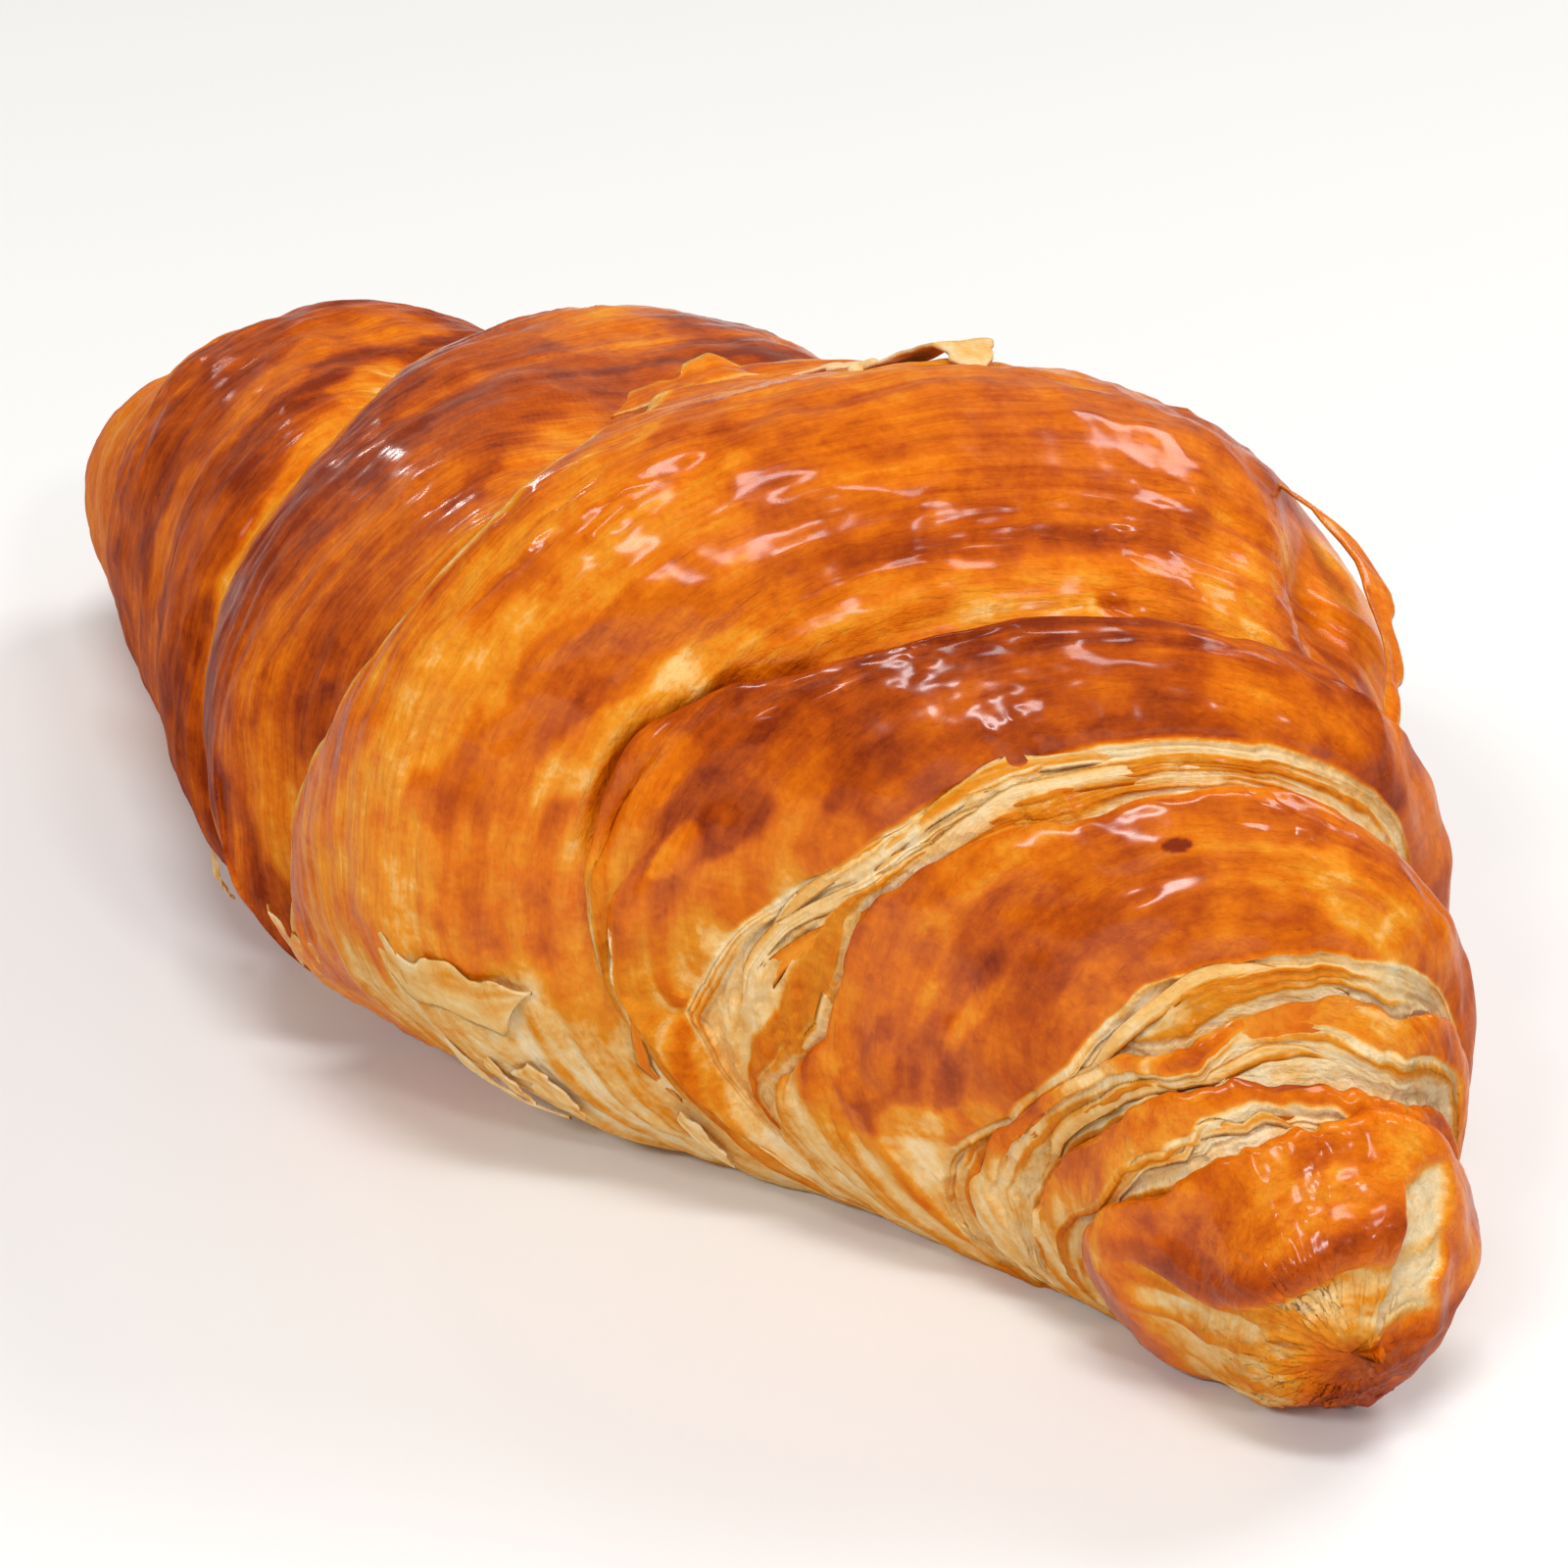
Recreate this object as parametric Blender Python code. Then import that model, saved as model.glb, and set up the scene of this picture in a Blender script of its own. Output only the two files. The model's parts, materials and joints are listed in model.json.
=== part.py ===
"""A butter croissant: one rolled and baked piece, a bent spindle with stepped wraps and a flat underside."""

import math

import bmesh
import bpy
from mathutils import Vector

MM = 0.001
PART_NAME = "croissant"
SIDES = 70

# The body is a loft of upright rings along a bent spine. Each rib of the loft holds, in mm:
# the place along the spine, the ring's front foot (x, y), its back foot (x, y), its crown height,
# its underside height and how full its lower half is (2 is an ellipse, less is more pointed).
RIBS = (
    (0.0, (-83.4, 3.2), (-83.4, 13.0), 21.0, 10.5, 2.0),
    (2.3, (-81.1, -1.5), (-81.1, 19.0), 24.6, 8.5, 2.0),
    (12.4, (-71.1, -8.2), (-71.1, 21.0), 29.5, 4.5, 2.0),
    (26.4, (-57.1, -14.0), (-57.1, 26.0), 37.8, 1.2, 2.1),
    (45.4, (-39.1, -20.0), (-37.1, 30.0), 41.5, 0.0, 2.2),
    (65.0, (-21.1, -30.3), (-16.1, 36.0), 47.5, 0.0, 2.3),
    (93.0, (-2.1, -35.7), (20.9, 39.0), 52.0, 0.0, 2.3),
    (114.4, (11.9, -38.5), (46.4, 32.5), 59.0, 0.0, 2.0),
    (137.6, (38.2, -24.4), (70.2, 12.2), 47.8, 0.0, 1.8),
    (152.1, (58.7, -17.2), (79.6, 3.7), 35.3, 0.0, 1.8),
    (158.2, (64.6, -17.1), (80.4, 1.9), 28.2, 0.3, 1.8),
    (162.1, (71.4, -16.0), (82.2, -1.0), 22.5, 1.2, 1.8),
    (167.1, (76.6, -15.6), (83.6, -7.4), 17.5, 4.6, 1.8),
)
CROWN_FULLNESS = 2.25
WIDEST_AT = 0.43
UNDERSIDE_CUT = 1.12

# Where each fold of the dough crosses the front, the crown and the back, as places along the spine,
# how far it lies below the outer envelope in mm, and how many rings the loft uses to reach it.
FOLDS = (
    ("far_end", 0.0, 0.0, 0.0, 2.0, 1),
    ("far_shoulder", 2.0, 2.0, 2.0, 0.4, 1),
    ("far_nub_crest", 14.0, 13.0, 12.0, 0.2, 2),
    ("far_nub_foot", 28.3, 26.0, 25.0, 3.2, 3),
    ("wrap_a_lip", 30.0, 27.8, 26.8, 0.6, 1),
    ("wrap_a_crest", 39.0, 38.0, 37.0, 0.0, 2),
    ("wrap_a_foot", 62.0, 60.0, 58.0, 3.6, 4),
    ("wrap_b_lip", 73.0, 64.0, 62.0, 0.6, 2),
    ("wrap_b_crest", 80.0, 74.0, 71.0, 0.0, 2),
    ("wrap_b_foot", 102.0, 103.0, 88.0, 3.4, 4),
    ("wrap_c_lip", 104.5, 106.0, 90.5, 0.6, 1),
    ("wrap_c_crest", 111.0, 115.0, 104.0, 0.0, 3),
    ("wrap_c_valley", 128.5, 131.0, 131.0, 4.6, 5),
    ("wrap_d_rise", 130.2, 133.2, 132.8, 1.2, 1),
    ("wrap_d_crest", 131.8, 136.5, 135.0, 0.0, 2),
    ("wrap_d_lip", 134.2, 141.0, 137.8, 0.8, 2),
    ("wrap_d_foot", 140.6, 145.0, 143.0, 4.6, 2),
    ("wrap_e_rise", 142.2, 146.3, 144.2, 1.2, 1),
    ("wrap_e_crest", 144.6, 149.0, 146.6, 0.0, 2),
    ("wrap_e_lip", 148.6, 153.2, 149.4, 0.6, 2),
    ("wrap_e_foot", 150.2, 156.0, 151.2, 3.0, 1),
    ("wrap_f_lip", 151.6, 157.8, 153.0, 1.6, 1),
    ("wrap_f_foot", 153.6, 159.4, 156.2, 2.8, 1),
    ("wrap_g_lip", 155.8, 160.3, 157.8, 1.8, 1),
    ("wrap_g_foot", 157.6, 161.3, 159.4, 2.8, 1),
    ("near_cap_rise", 158.8, 162.3, 160.6, 0.8, 1),
    ("near_cap_crest", 161.0, 164.2, 162.8, 0.0, 1),
    ("near_shoulder", 165.0, 166.2, 165.6, 0.6, 1),
    ("near_end", 167.1, 167.1, 167.1, 2.4, 1),
)


def blend(knots, values, place):
    """Smooth curve through the values that never overshoots between two knots."""
    last = len(knots) - 1
    index = max(0, min(last - 1, sum(knot <= place for knot in knots) - 1))
    steps = [knots[k + 1] - knots[k] for k in range(last)]
    slopes = [(values[k + 1] - values[k]) / steps[k] for k in range(last)]

    def tangent(k):
        if k == 0:
            return slopes[0]
        if k == last:
            return slopes[-1]
        if slopes[k - 1] * slopes[k] <= 0.0:
            return 0.0
        return 2.0 * slopes[k - 1] * slopes[k] / (slopes[k - 1] + slopes[k])

    t = (place - knots[index]) / steps[index]
    t = max(0.0, min(1.0, t))
    rise = t * t * (3.0 - 2.0 * t)
    start = t * (1.0 - t) ** 2 * steps[index] * tangent(index)
    end = t * t * (t - 1.0) * steps[index] * tangent(index + 1)
    return values[index] * (1.0 - rise) + values[index + 1] * rise + start + end


def rib_at(place):
    """Front foot, back foot, crown height, underside height and lower fullness at a place on the spine."""
    knots = [rib[0] for rib in RIBS]
    front = Vector([blend(knots, [rib[1][axis] for rib in RIBS], place) for axis in (0, 1)])
    back = Vector([blend(knots, [rib[2][axis] for rib in RIBS], place) for axis in (0, 1)])
    crown, under, fullness = [blend(knots, [rib[k] for rib in RIBS], place) for k in (3, 4, 5)]
    return front, back, crown, under, fullness


def signed_power(value, exponent):
    return math.copysign(abs(value) ** exponent, value)


def fold_place(fold, angle):
    """Place along the spine where a fold crosses the ring angle: 0 is the back, 90 degrees the crown."""
    _, front, crown, back = fold[:4]
    middle = (front + back) / 2.0
    over_crown = max(0.0, math.sin(angle)) ** 1.5
    return middle + (back - front) / 2.0 * math.cos(angle) + (crown - middle) * over_crown


def ring_rows():
    """One entry per ring of the loft: the fold before it, the fold after it and the share between them."""
    rows = [(0, 0, 0.0)]
    for index in range(1, len(FOLDS)):
        count = FOLDS[index][5]
        rows += [(index - 1, index, (step + 1) / count) for step in range(count)]
    return rows


def surface_point(row, angle):
    """Point of the crust on one ring, with the folds pressed in below the envelope."""
    before, after, share = row
    start = fold_place(FOLDS[before], angle)
    end = fold_place(FOLDS[after], angle)
    place = start + (end - start) * share
    ease = share * share * (3.0 - 2.0 * share)
    depth = FOLDS[before][4] * (1.0 - ease) + FOLDS[after][4] * ease
    front, back, crown, under, lower_fullness = rib_at(place)
    middle = (front + back) / 2.0
    half = (back - front) / 2.0
    widest = under + (crown - under) * WIDEST_AT
    fullness = CROWN_FULLNESS if math.sin(angle) >= 0.0 else lower_fullness
    across = signed_power(math.cos(angle), 2.0 / fullness)
    up = signed_power(math.sin(angle), 2.0 / fullness)
    if up >= 0.0:
        rise = (crown - widest) * up
    else:
        rise = max((widest - under) * UNDERSIDE_CUT * up, under - widest)
    reach = math.hypot(half.length * across, rise)
    above_base = max(0.0, min(1.0, (math.sin(angle) + 0.75) / 0.6))
    shrink = 1.0 - depth * above_base / max(reach, depth + 0.5)
    flat = middle + half * across * shrink
    return Vector((flat.x, flat.y, widest + rise * shrink))


def crust_material():
    material = bpy.data.materials.new("crust")
    material.use_nodes = True
    shader = material.node_tree.nodes["Principled BSDF"]
    shader.inputs["Base Color"].default_value = (0.56, 0.21, 0.035, 1.0)
    shader.inputs["Roughness"].default_value = 0.35
    shader.inputs["Metallic"].default_value = 0.0
    return material


def croissant_mesh():
    """A ball whose lines of latitude become the rings of the loft."""
    rows = ring_rows()
    bands = len(rows) + 1
    body = bmesh.new()
    bmesh.ops.create_uvsphere(body, u_segments=SIDES, v_segments=bands, radius=1.0)
    ends = (surface_middle(rows[0]), surface_middle(rows[-1]))
    for vert in body.verts:
        polar = math.acos(max(-1.0, min(1.0, vert.co.z)))
        band = round(polar / math.pi * bands)
        if band == 0:
            vert.co = ends[0] * MM
        elif band == bands:
            vert.co = ends[1] * MM
        else:
            vert.co = surface_point(rows[band - 1], math.atan2(vert.co.y, vert.co.x)) * MM
    settle(body)
    bmesh.ops.recalc_face_normals(body, faces=body.faces)
    mesh = bpy.data.meshes.new(PART_NAME)
    body.to_mesh(mesh)
    body.free()
    mesh.shade_smooth()
    return mesh


def surface_middle(row):
    """Middle of a ring, for the closing point of each end."""
    around = [surface_point(row, math.tau * k / SIDES) for k in range(SIDES)]
    return sum(around, Vector()) / SIDES


def settle(body):
    """Sets the body on the ground with the middle of its plan at the origin."""
    low = Vector([min(vert.co[axis] for vert in body.verts) for axis in range(3)])
    high = Vector([max(vert.co[axis] for vert in body.verts) for axis in range(3)])
    middle = (low + high) / 2.0
    bmesh.ops.translate(body, verts=body.verts, vec=Vector((-middle.x, -middle.y, -low.z)))


def croissant(collection):
    part = bpy.data.objects.new(PART_NAME, croissant_mesh())
    part.data.materials.append(crust_material())
    collection.objects.link(part)
    return part


def main():
    for old in list(bpy.data.objects):
        bpy.data.objects.remove(old, do_unlink=True)
    collection = bpy.data.collections.new(PART_NAME)
    bpy.context.scene.collection.children.link(collection)
    croissant(collection)


main()
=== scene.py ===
import json
import math

import bmesh
import bpy
import numpy as np
from bpy.props import FloatProperty, FloatVectorProperty, IntProperty, PointerProperty
from bpy.types import Operator, Panel, PropertyGroup
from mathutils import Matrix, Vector

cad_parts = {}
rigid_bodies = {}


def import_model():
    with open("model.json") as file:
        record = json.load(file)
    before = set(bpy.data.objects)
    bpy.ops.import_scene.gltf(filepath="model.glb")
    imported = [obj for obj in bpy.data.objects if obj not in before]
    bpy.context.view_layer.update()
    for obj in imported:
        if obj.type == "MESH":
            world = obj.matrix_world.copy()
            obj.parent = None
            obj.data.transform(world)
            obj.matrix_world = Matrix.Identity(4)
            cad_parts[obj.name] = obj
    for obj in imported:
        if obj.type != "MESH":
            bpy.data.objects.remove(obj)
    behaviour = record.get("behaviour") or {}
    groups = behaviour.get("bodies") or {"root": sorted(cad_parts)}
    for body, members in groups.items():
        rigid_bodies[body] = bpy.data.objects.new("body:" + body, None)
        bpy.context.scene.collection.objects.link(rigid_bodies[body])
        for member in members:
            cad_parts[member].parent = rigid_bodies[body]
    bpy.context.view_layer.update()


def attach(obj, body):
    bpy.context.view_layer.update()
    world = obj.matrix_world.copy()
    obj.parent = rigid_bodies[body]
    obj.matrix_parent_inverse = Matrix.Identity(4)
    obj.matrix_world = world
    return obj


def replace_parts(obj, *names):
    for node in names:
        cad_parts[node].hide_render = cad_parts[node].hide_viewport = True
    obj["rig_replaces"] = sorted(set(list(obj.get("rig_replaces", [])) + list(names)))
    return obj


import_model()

bl_info = {
    "name": "Butter Croissant",
    "version": (1, 0, 0),
    "blender": (4, 5, 0),
    "location": "View3D > Sidebar > Croissant",
    "description": "Shapes the folds, crust and flakes of a baked croissant around its CAD body",
    "category": "Add Mesh",
}

MM = 0.001
BODY_NODE = "croissant"

# ---------------------------------------------------------------------------
# The rolled body
# ---------------------------------------------------------------------------

# Ribs of the body along its bent spine, in mm: place on the spine, front foot, back foot,
# crown height, underside height and how full the lower half is (2 is an ellipse).
RIBS = (
    (-1.8, (-84.3, 6.6), (-84.3, 9.8), 17.6, 13.6, 2.0),
    (0.0, (-83.4, 3.2), (-83.4, 13.0), 21.0, 10.5, 2.0),
    (2.3, (-81.1, -1.5), (-81.1, 19.0), 24.6, 8.5, 2.0),
    (12.4, (-71.1, -8.2), (-71.1, 21.0), 29.5, 4.5, 2.0),
    (26.4, (-57.1, -14.0), (-57.1, 26.0), 37.8, 1.2, 2.1),
    (45.4, (-39.1, -21.0), (-37.1, 30.0), 41.5, 0.0, 2.2),
    (65.0, (-21.1, -31.2), (-16.1, 36.0), 47.5, 0.0, 2.3),
    (93.0, (-2.1, -36.2), (20.9, 39.0), 52.0, 0.0, 2.3),
    (114.4, (11.9, -37.4), (46.4, 32.5), 59.0, 0.0, 2.0),
    (137.6, (38.2, -23.2), (70.2, 12.2), 47.8, 0.0, 1.8),
    (152.1, (58.7, -16.8), (79.6, 3.7), 35.3, 0.0, 1.8),
    (158.2, (64.6, -17.1), (80.4, 1.9), 28.2, 0.3, 1.8),
    (162.1, (71.4, -16.0), (82.2, -1.0), 22.5, 1.2, 1.8),
    (167.1, (76.6, -15.6), (83.6, -7.4), 17.5, 4.6, 1.8),
    (169.6, (80.2, -14.0), (83.4, -10.2), 13.0, 8.0, 2.0),
)
CROWN_FULLNESS = 2.25
WIDEST_AT = 0.43
UNDERSIDE_CUT = 1.12
SETTLED = (0.284, -0.054)
GIRTH_RADIUS = 30.0

# Torn sheets and raised layers: thickness in mm, points along and across, and first seed.
SHEET_THICKNESS, SHEET_CELLS, SHEET_SEED = 0.3, (40, 12), 300
RIBBON_THICKNESS, RIBBON_CELLS, RIBBON_SEED = 0.35, (150, 5), 340
PALE_BELOW = 0.35  # a sheet with a lower bake level than this is bare dough

# Places along the spine where each edge of the dough crosses these angles round the body:
# 0 is the back, 90 the crown, 180 the front and 270 the underside.
ANGLES = (20, 55, 90, 120, 150, 180, 215, 270, 320)
EDGES = {
    "tip": (-1.8,) * 9,
    "a_lip": (22, 23.5, 24.5, 24.5, 24.8, 25.4, 30, 30, 25),
    "b_foot": (50, 48, 48.5, 60.5, 61.5, 63.5, 70, 64, 55),
    "b_lip": (53.7, 51.2, 54.6, 66, 68.5, 74.4, 80.4, 74, 60),
    "c_lip": (86, 87.5, 88.3, 107.9, 108.4, 98.5, 92, 90, 88),
    "d_ridge": (130.5, 132.4, 133, 131.8, 128, 128.1, 130.6, 131, 132),
    "d_lip": (134.6, 138.6, 140.2, 140, 138.2, 132.3, 130, 133, 136),
    "e_start": (141.4, 143.7, 144, 144.1, 141, 140, 134.5, 138, 141),
    "e_lip": (146.9, 151.2, 152.6, 152.4, 151.6, 148.2, 143.4, 143, 146),
    "f_start": (148.6, 153.9, 155.3, 156.1, 153, 148.5, 145.3, 145, 148),
    "f_lip": (151.3, 156.3, 156.5, 157, 153.9, 149.3, 146.5, 147, 150.5),
    "f2_start": (155.8, 159, 159.1, 157.9, 155.9, 151.8, 148.3, 149, 154),
    "f2_lip": (157.2, 160.2, 159.4, 159.1, 157.9, 154.9, 149.6, 151, 155),
    "g_ridge": (158.9, 160.2, 160.3, 160.6, 159.7, 156.3, 152.9, 153, 156),
    "end": (169.6,) * 9,
}


def smooth_blend(low, high, value):
    share = np.clip((value - low) / (high - low), 0.0, 1.0)
    return share * share * (3.0 - 2.0 * share)


def curve_through(knots, values, place):
    """Smooth curve through the values that never overshoots between two knots."""
    knots, values = np.asarray(knots, float), np.asarray(values, float)
    steps = np.diff(knots)
    slopes = np.diff(values) / steps
    tangents = np.zeros_like(values)
    tangents[0], tangents[-1] = slopes[0], slopes[-1]
    same_way = slopes[:-1] * slopes[1:] > 0.0
    total = np.where(same_way, slopes[:-1] + slopes[1:], 1.0)
    tangents[1:-1] = np.where(same_way, 2.0 * slopes[:-1] * slopes[1:] / total, 0.0)
    index = np.clip(np.searchsorted(knots, place, side="right") - 1, 0, len(steps) - 1)
    t = np.clip((place - knots[index]) / steps[index], 0.0, 1.0)
    rise = t * t * (3.0 - 2.0 * t)
    start = t * (1.0 - t) ** 2 * steps[index] * tangents[index]
    end = t * t * (t - 1.0) * steps[index] * tangents[index + 1]
    return values[index] * (1.0 - rise) + values[index + 1] * rise + start + end


def edge_at(name, angle):
    """Place along the spine where the named edge crosses each angle round the body."""
    degrees = np.degrees(angle) % 360.0
    knots = np.array([a - 360 for a in ANGLES[-2:]] + list(ANGLES) + [a + 360 for a in ANGLES[:2]], float)
    values = EDGES[name]
    values = np.array(values[-2:] + values + values[:2], float)
    slopes = np.gradient(values, knots)
    index = np.clip(np.searchsorted(knots, degrees, side="right") - 1, 0, len(knots) - 2)
    step = knots[index + 1] - knots[index]
    t = (degrees - knots[index]) / step
    return (
        values[index] * (1 + 2 * t) * (1 - t) ** 2
        + values[index + 1] * t * t * (3 - 2 * t)
        + slopes[index] * step * t * (1 - t) ** 2
        + slopes[index + 1] * step * t * t * (t - 1)
    )


def signed_power(value, exponent):
    return np.sign(value) * np.abs(value) ** exponent


def body_point(place, angle, depth):
    """Points at a depth below the outer envelope, in mm, as three arrays."""
    knots = [rib[0] for rib in RIBS]
    place = np.clip(place, knots[0], knots[-1])
    front_x, front_y, back_x, back_y, crown, under, lower = (
        curve_through(knots, values, place) for values in zip(*((*rib[1], *rib[2], *rib[3:]) for rib in RIBS))
    )
    half_x, half_y = (back_x - front_x) / 2, (back_y - front_y) / 2
    half = np.hypot(half_x, half_y)
    widest = under + (crown - under) * WIDEST_AT
    fullness = np.where(np.sin(angle) >= 0, CROWN_FULLNESS, lower)
    across = signed_power(np.cos(angle), 2.0 / fullness)
    up = signed_power(np.sin(angle), 2.0 / fullness)
    sunk = np.maximum((widest - under) * UNDERSIDE_CUT * up, under - widest)
    rise = np.where(up >= 0, (crown - widest) * up, sunk)
    reach = np.hypot(half * across, rise)
    above_base = np.clip((np.sin(angle) + 0.75) / 0.6, 0.0, 1.0)
    pressed = np.where(depth > 5.0, depth, depth * (0.2 + 0.8 * above_base))
    shrink = 1.0 - pressed / np.maximum(reach, np.maximum(pressed, 0) + 0.8)
    return (
        (front_x + back_x) / 2 + half_x * across * shrink + SETTLED[0],
        (front_y + back_y) / 2 + half_y * across * shrink + SETTLED[1],
        np.maximum(widest + rise * shrink, 0.0),
    )


# ---------------------------------------------------------------------------
# Noise for the crust
# ---------------------------------------------------------------------------


def lattice(i, j, k, seed):
    mixed = (i * 374761393 + j * 668265263 + k * 1440662683 + seed * 144665531) & 0xFFFFFFFF
    mixed = ((mixed ^ (mixed >> 13)) * 1274126177) & 0xFFFFFFFF
    mixed = ((mixed ^ (mixed >> 15)) * 2246822519) & 0xFFFFFFFF
    return ((mixed ^ (mixed >> 16)) & 0xFFFF) / 32767.5 - 1.0


def noise(x, y, z, seed=0):
    """Smooth noise from -1 to 1 on a lattice one unit wide."""
    cell = [np.floor(c).astype(np.int64) for c in (x, y, z)]
    part = [c - f for c, f in zip((x, y, z), cell)]
    soft = [p * p * p * (p * (p * 6 - 15) + 10) for p in part]
    total = 0.0
    for a in (0, 1):
        for b in (0, 1):
            for c in (0, 1):
                weight = (
                    (soft[0] if a else 1 - soft[0])
                    * (soft[1] if b else 1 - soft[1])
                    * (soft[2] if c else 1 - soft[2])
                )
                total = total + weight * lattice(cell[0] + a, cell[1] + b, cell[2] + c, seed)
    return total


def layered_noise(x, y, z, octaves=3, seed=0):
    total, weight, power = 0.0, 1.0, 0.0
    for octave in range(octaves):
        total = total + weight * noise(x, y, z, seed + 17 * octave)
        power += weight
        x, y, z = 2.03 * x + 5.1, 2.03 * y + 1.7, 2.03 * z + 9.2
        weight *= 0.5
    return total / power * 1.5


# ---------------------------------------------------------------------------
# Shells of dough
# ---------------------------------------------------------------------------


def uneven_edge(name, angle):
    """An edge of the dough with the small waves of a hand-rolled sheet."""
    seed = 200 + list(EDGES).index(name)
    x, y = GIRTH_RADIUS * np.cos(angle), GIRTH_RADIUS * np.sin(angle)
    wave = 0.35 * noise(x / 9.0, y / 9.0, 0 * x, seed) + 0.16 * noise(x / 2.6, y / 2.6, 0 * x + 5.0, seed)
    return edge_at(name, angle) + (0.0 if name in ("tip", "end") else 1.0) * wave


def path_through(knots, steps):
    """Rounded path through the profile's knots, row by row."""
    last = len(knots) - 1
    index = np.clip(np.floor(steps).astype(int), 0, last - 1)
    t = (steps - index)[:, None]
    before, start = knots[np.maximum(index - 1, 0)], knots[index]
    end, after = knots[index + 1], knots[np.minimum(index + 2, last)]
    limit = 2.8 * np.abs(end - start)
    leave = np.clip((end - before) * 0.5, -limit, limit)
    arrive = np.clip((after - start) * 0.5, -limit, limit)
    return (
        start * (1 + 2 * t) * (1 - t) ** 2
        + end * t * t * (3 - 2 * t)
        + leave * t * (1 - t) ** 2
        + arrive * t * t * (t - 1)
    )


class Shell:
    """One layer of dough as a closed skin: rows run from its hidden start to its hidden end."""

    def __init__(self, name, span, profile, rows, columns, seed):
        self.name, self.seed = name, seed
        self.rows, self.columns = rows, columns
        turn = np.arange(columns) / columns * math.tau
        self.angle = turn + 0.3 * np.cos(turn)
        spread = [entry[3] for entry in profile[1:]]
        reach = np.concatenate([[0.0], np.cumsum(spread)])
        travel = np.linspace(0.0, reach[-1], rows)
        knots = np.interp(travel, reach, np.arange(len(profile)))
        edges = np.array([uneven_edge(entry[0], self.angle) + entry[1] for entry in profile])
        for knot in range(4, len(profile)):
            edges[knot] = np.maximum(edges[knot], edges[knot - 1] + 0.3)
        depths = np.array([np.full(columns, float(entry[2])) for entry in profile])
        self.place = path_through(edges, knots)
        self.depth = path_through(depths, knots)
        self.step = knots[:, None] + 0 * self.place
        self.theta = np.broadcast_to(self.angle, self.place.shape)
        self.degrees = np.degrees(self.theta) % 360.0
        start, end = edge_at(span[0], self.angle), edge_at(span[1], self.angle)
        self.u = (self.place - start) / (end - start)
        self.point = np.stack(body_point(self.place, self.theta, self.depth), -1)
        self.bake = np.full(self.place.shape, 0.5)
        self.dough = np.zeros_like(self.bake)
        self.gloss = np.ones_like(self.bake)

    def between(self, low, high, soft=0.25):
        """Mask of the rows between two knots of the profile, soft at both ends."""
        begun = smooth_blend(low - soft, low + soft, self.step)
        return begun * (1 - smooth_blend(high - soft, high + soft, self.step))

    def grain(self, across, along, octaves=3, seed=0):
        """Streaks that run round the body with the dough, at this many to the mm."""
        return layered_noise(
            self.place * across,
            np.cos(self.theta) * GIRTH_RADIUS * along,
            np.sin(self.theta) * GIRTH_RADIUS * along,
            octaves,
            self.seed + seed,
        )

    def layers(self, count, along, octaves=2, seed=0):
        """Streaks that keep to the layers of a cut face."""
        return layered_noise(
            self.step * count,
            np.cos(self.theta) * GIRTH_RADIUS * along,
            np.sin(self.theta) * GIRTH_RADIUS * along,
            octaves,
            self.seed + 50 + seed,
        )

    def lumps(self, size, octaves=3, seed=0):
        """Noise in space, with features about this many mm wide."""
        p = self.point / size
        return layered_noise(p[..., 0], p[..., 1], p[..., 2], octaves, self.seed + 90 + seed)

    def dab(self, u, degrees, wide, tall):
        """Soft oval patch at a share of the wrap's width and an angle."""
        turn = (self.degrees - degrees + 180.0) % 360.0 - 180.0
        return np.exp(-(((self.u - u) / wide) ** 2) - (turn / tall) ** 2)

    def tint(self, mask, level):
        """Brings the bake to a level where the mask is 1."""
        self.bake = self.bake * (1 - mask) + mask * level

    def dull(self, mask):
        """Takes this share of the glaze away."""
        self.gloss = self.gloss * (1 - mask)

    def paint(self, dabs):
        """Brings patches of the crust to their own bake level."""
        ragged = 0.16 * self.lumps(3.2, 3, 31) + 0.14 * self.grain(0.8, 0.12, 3, 32)
        for u, degrees, wide, tall, level in dabs:
            spot = self.dab(u, degrees, wide * 1.1, tall * 1.15)
            share = 0.35 * spot + 0.6 * smooth_blend(0.30, 0.58, spot + ragged * np.minimum(1.0, 4.0 * spot))
            self.tint(share, level)

    def swell(self, dabs):
        """Raises or dents patches of the skin by a height in mm."""
        height = np.zeros_like(self.bake)
        for u, degrees, wide, tall, rise in dabs:
            height += rise * self.dab(u, degrees, wide, tall)
        self.push(height)

    def normals(self):
        down = np.gradient(self.point, axis=0)
        round_ = np.roll(self.point, -1, axis=1) - np.roll(self.point, 1, axis=1)
        normal = np.cross(round_, down)
        length = np.linalg.norm(normal, axis=-1, keepdims=True)
        normal = normal / np.maximum(length, 1e-9)
        centre = self.point.mean(axis=1, keepdims=True)
        if np.mean(np.sum(normal * (self.point - centre), -1)) < 0:
            normal = -normal
        return normal

    def push(self, height):
        """Moves the skin along its normals by a height in mm, and keeps it above the ground."""
        reach = np.linalg.norm(self.point - self.point.mean(axis=1, keepdims=True), axis=-1).mean(axis=1)
        height = np.asarray(height) * smooth_blend(0.3, 3.0, reach)[:, None]
        self.point = self.point + self.normals() * height[..., None]
        self.point[..., 2] = np.maximum(self.point[..., 2], 0.0)

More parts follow.
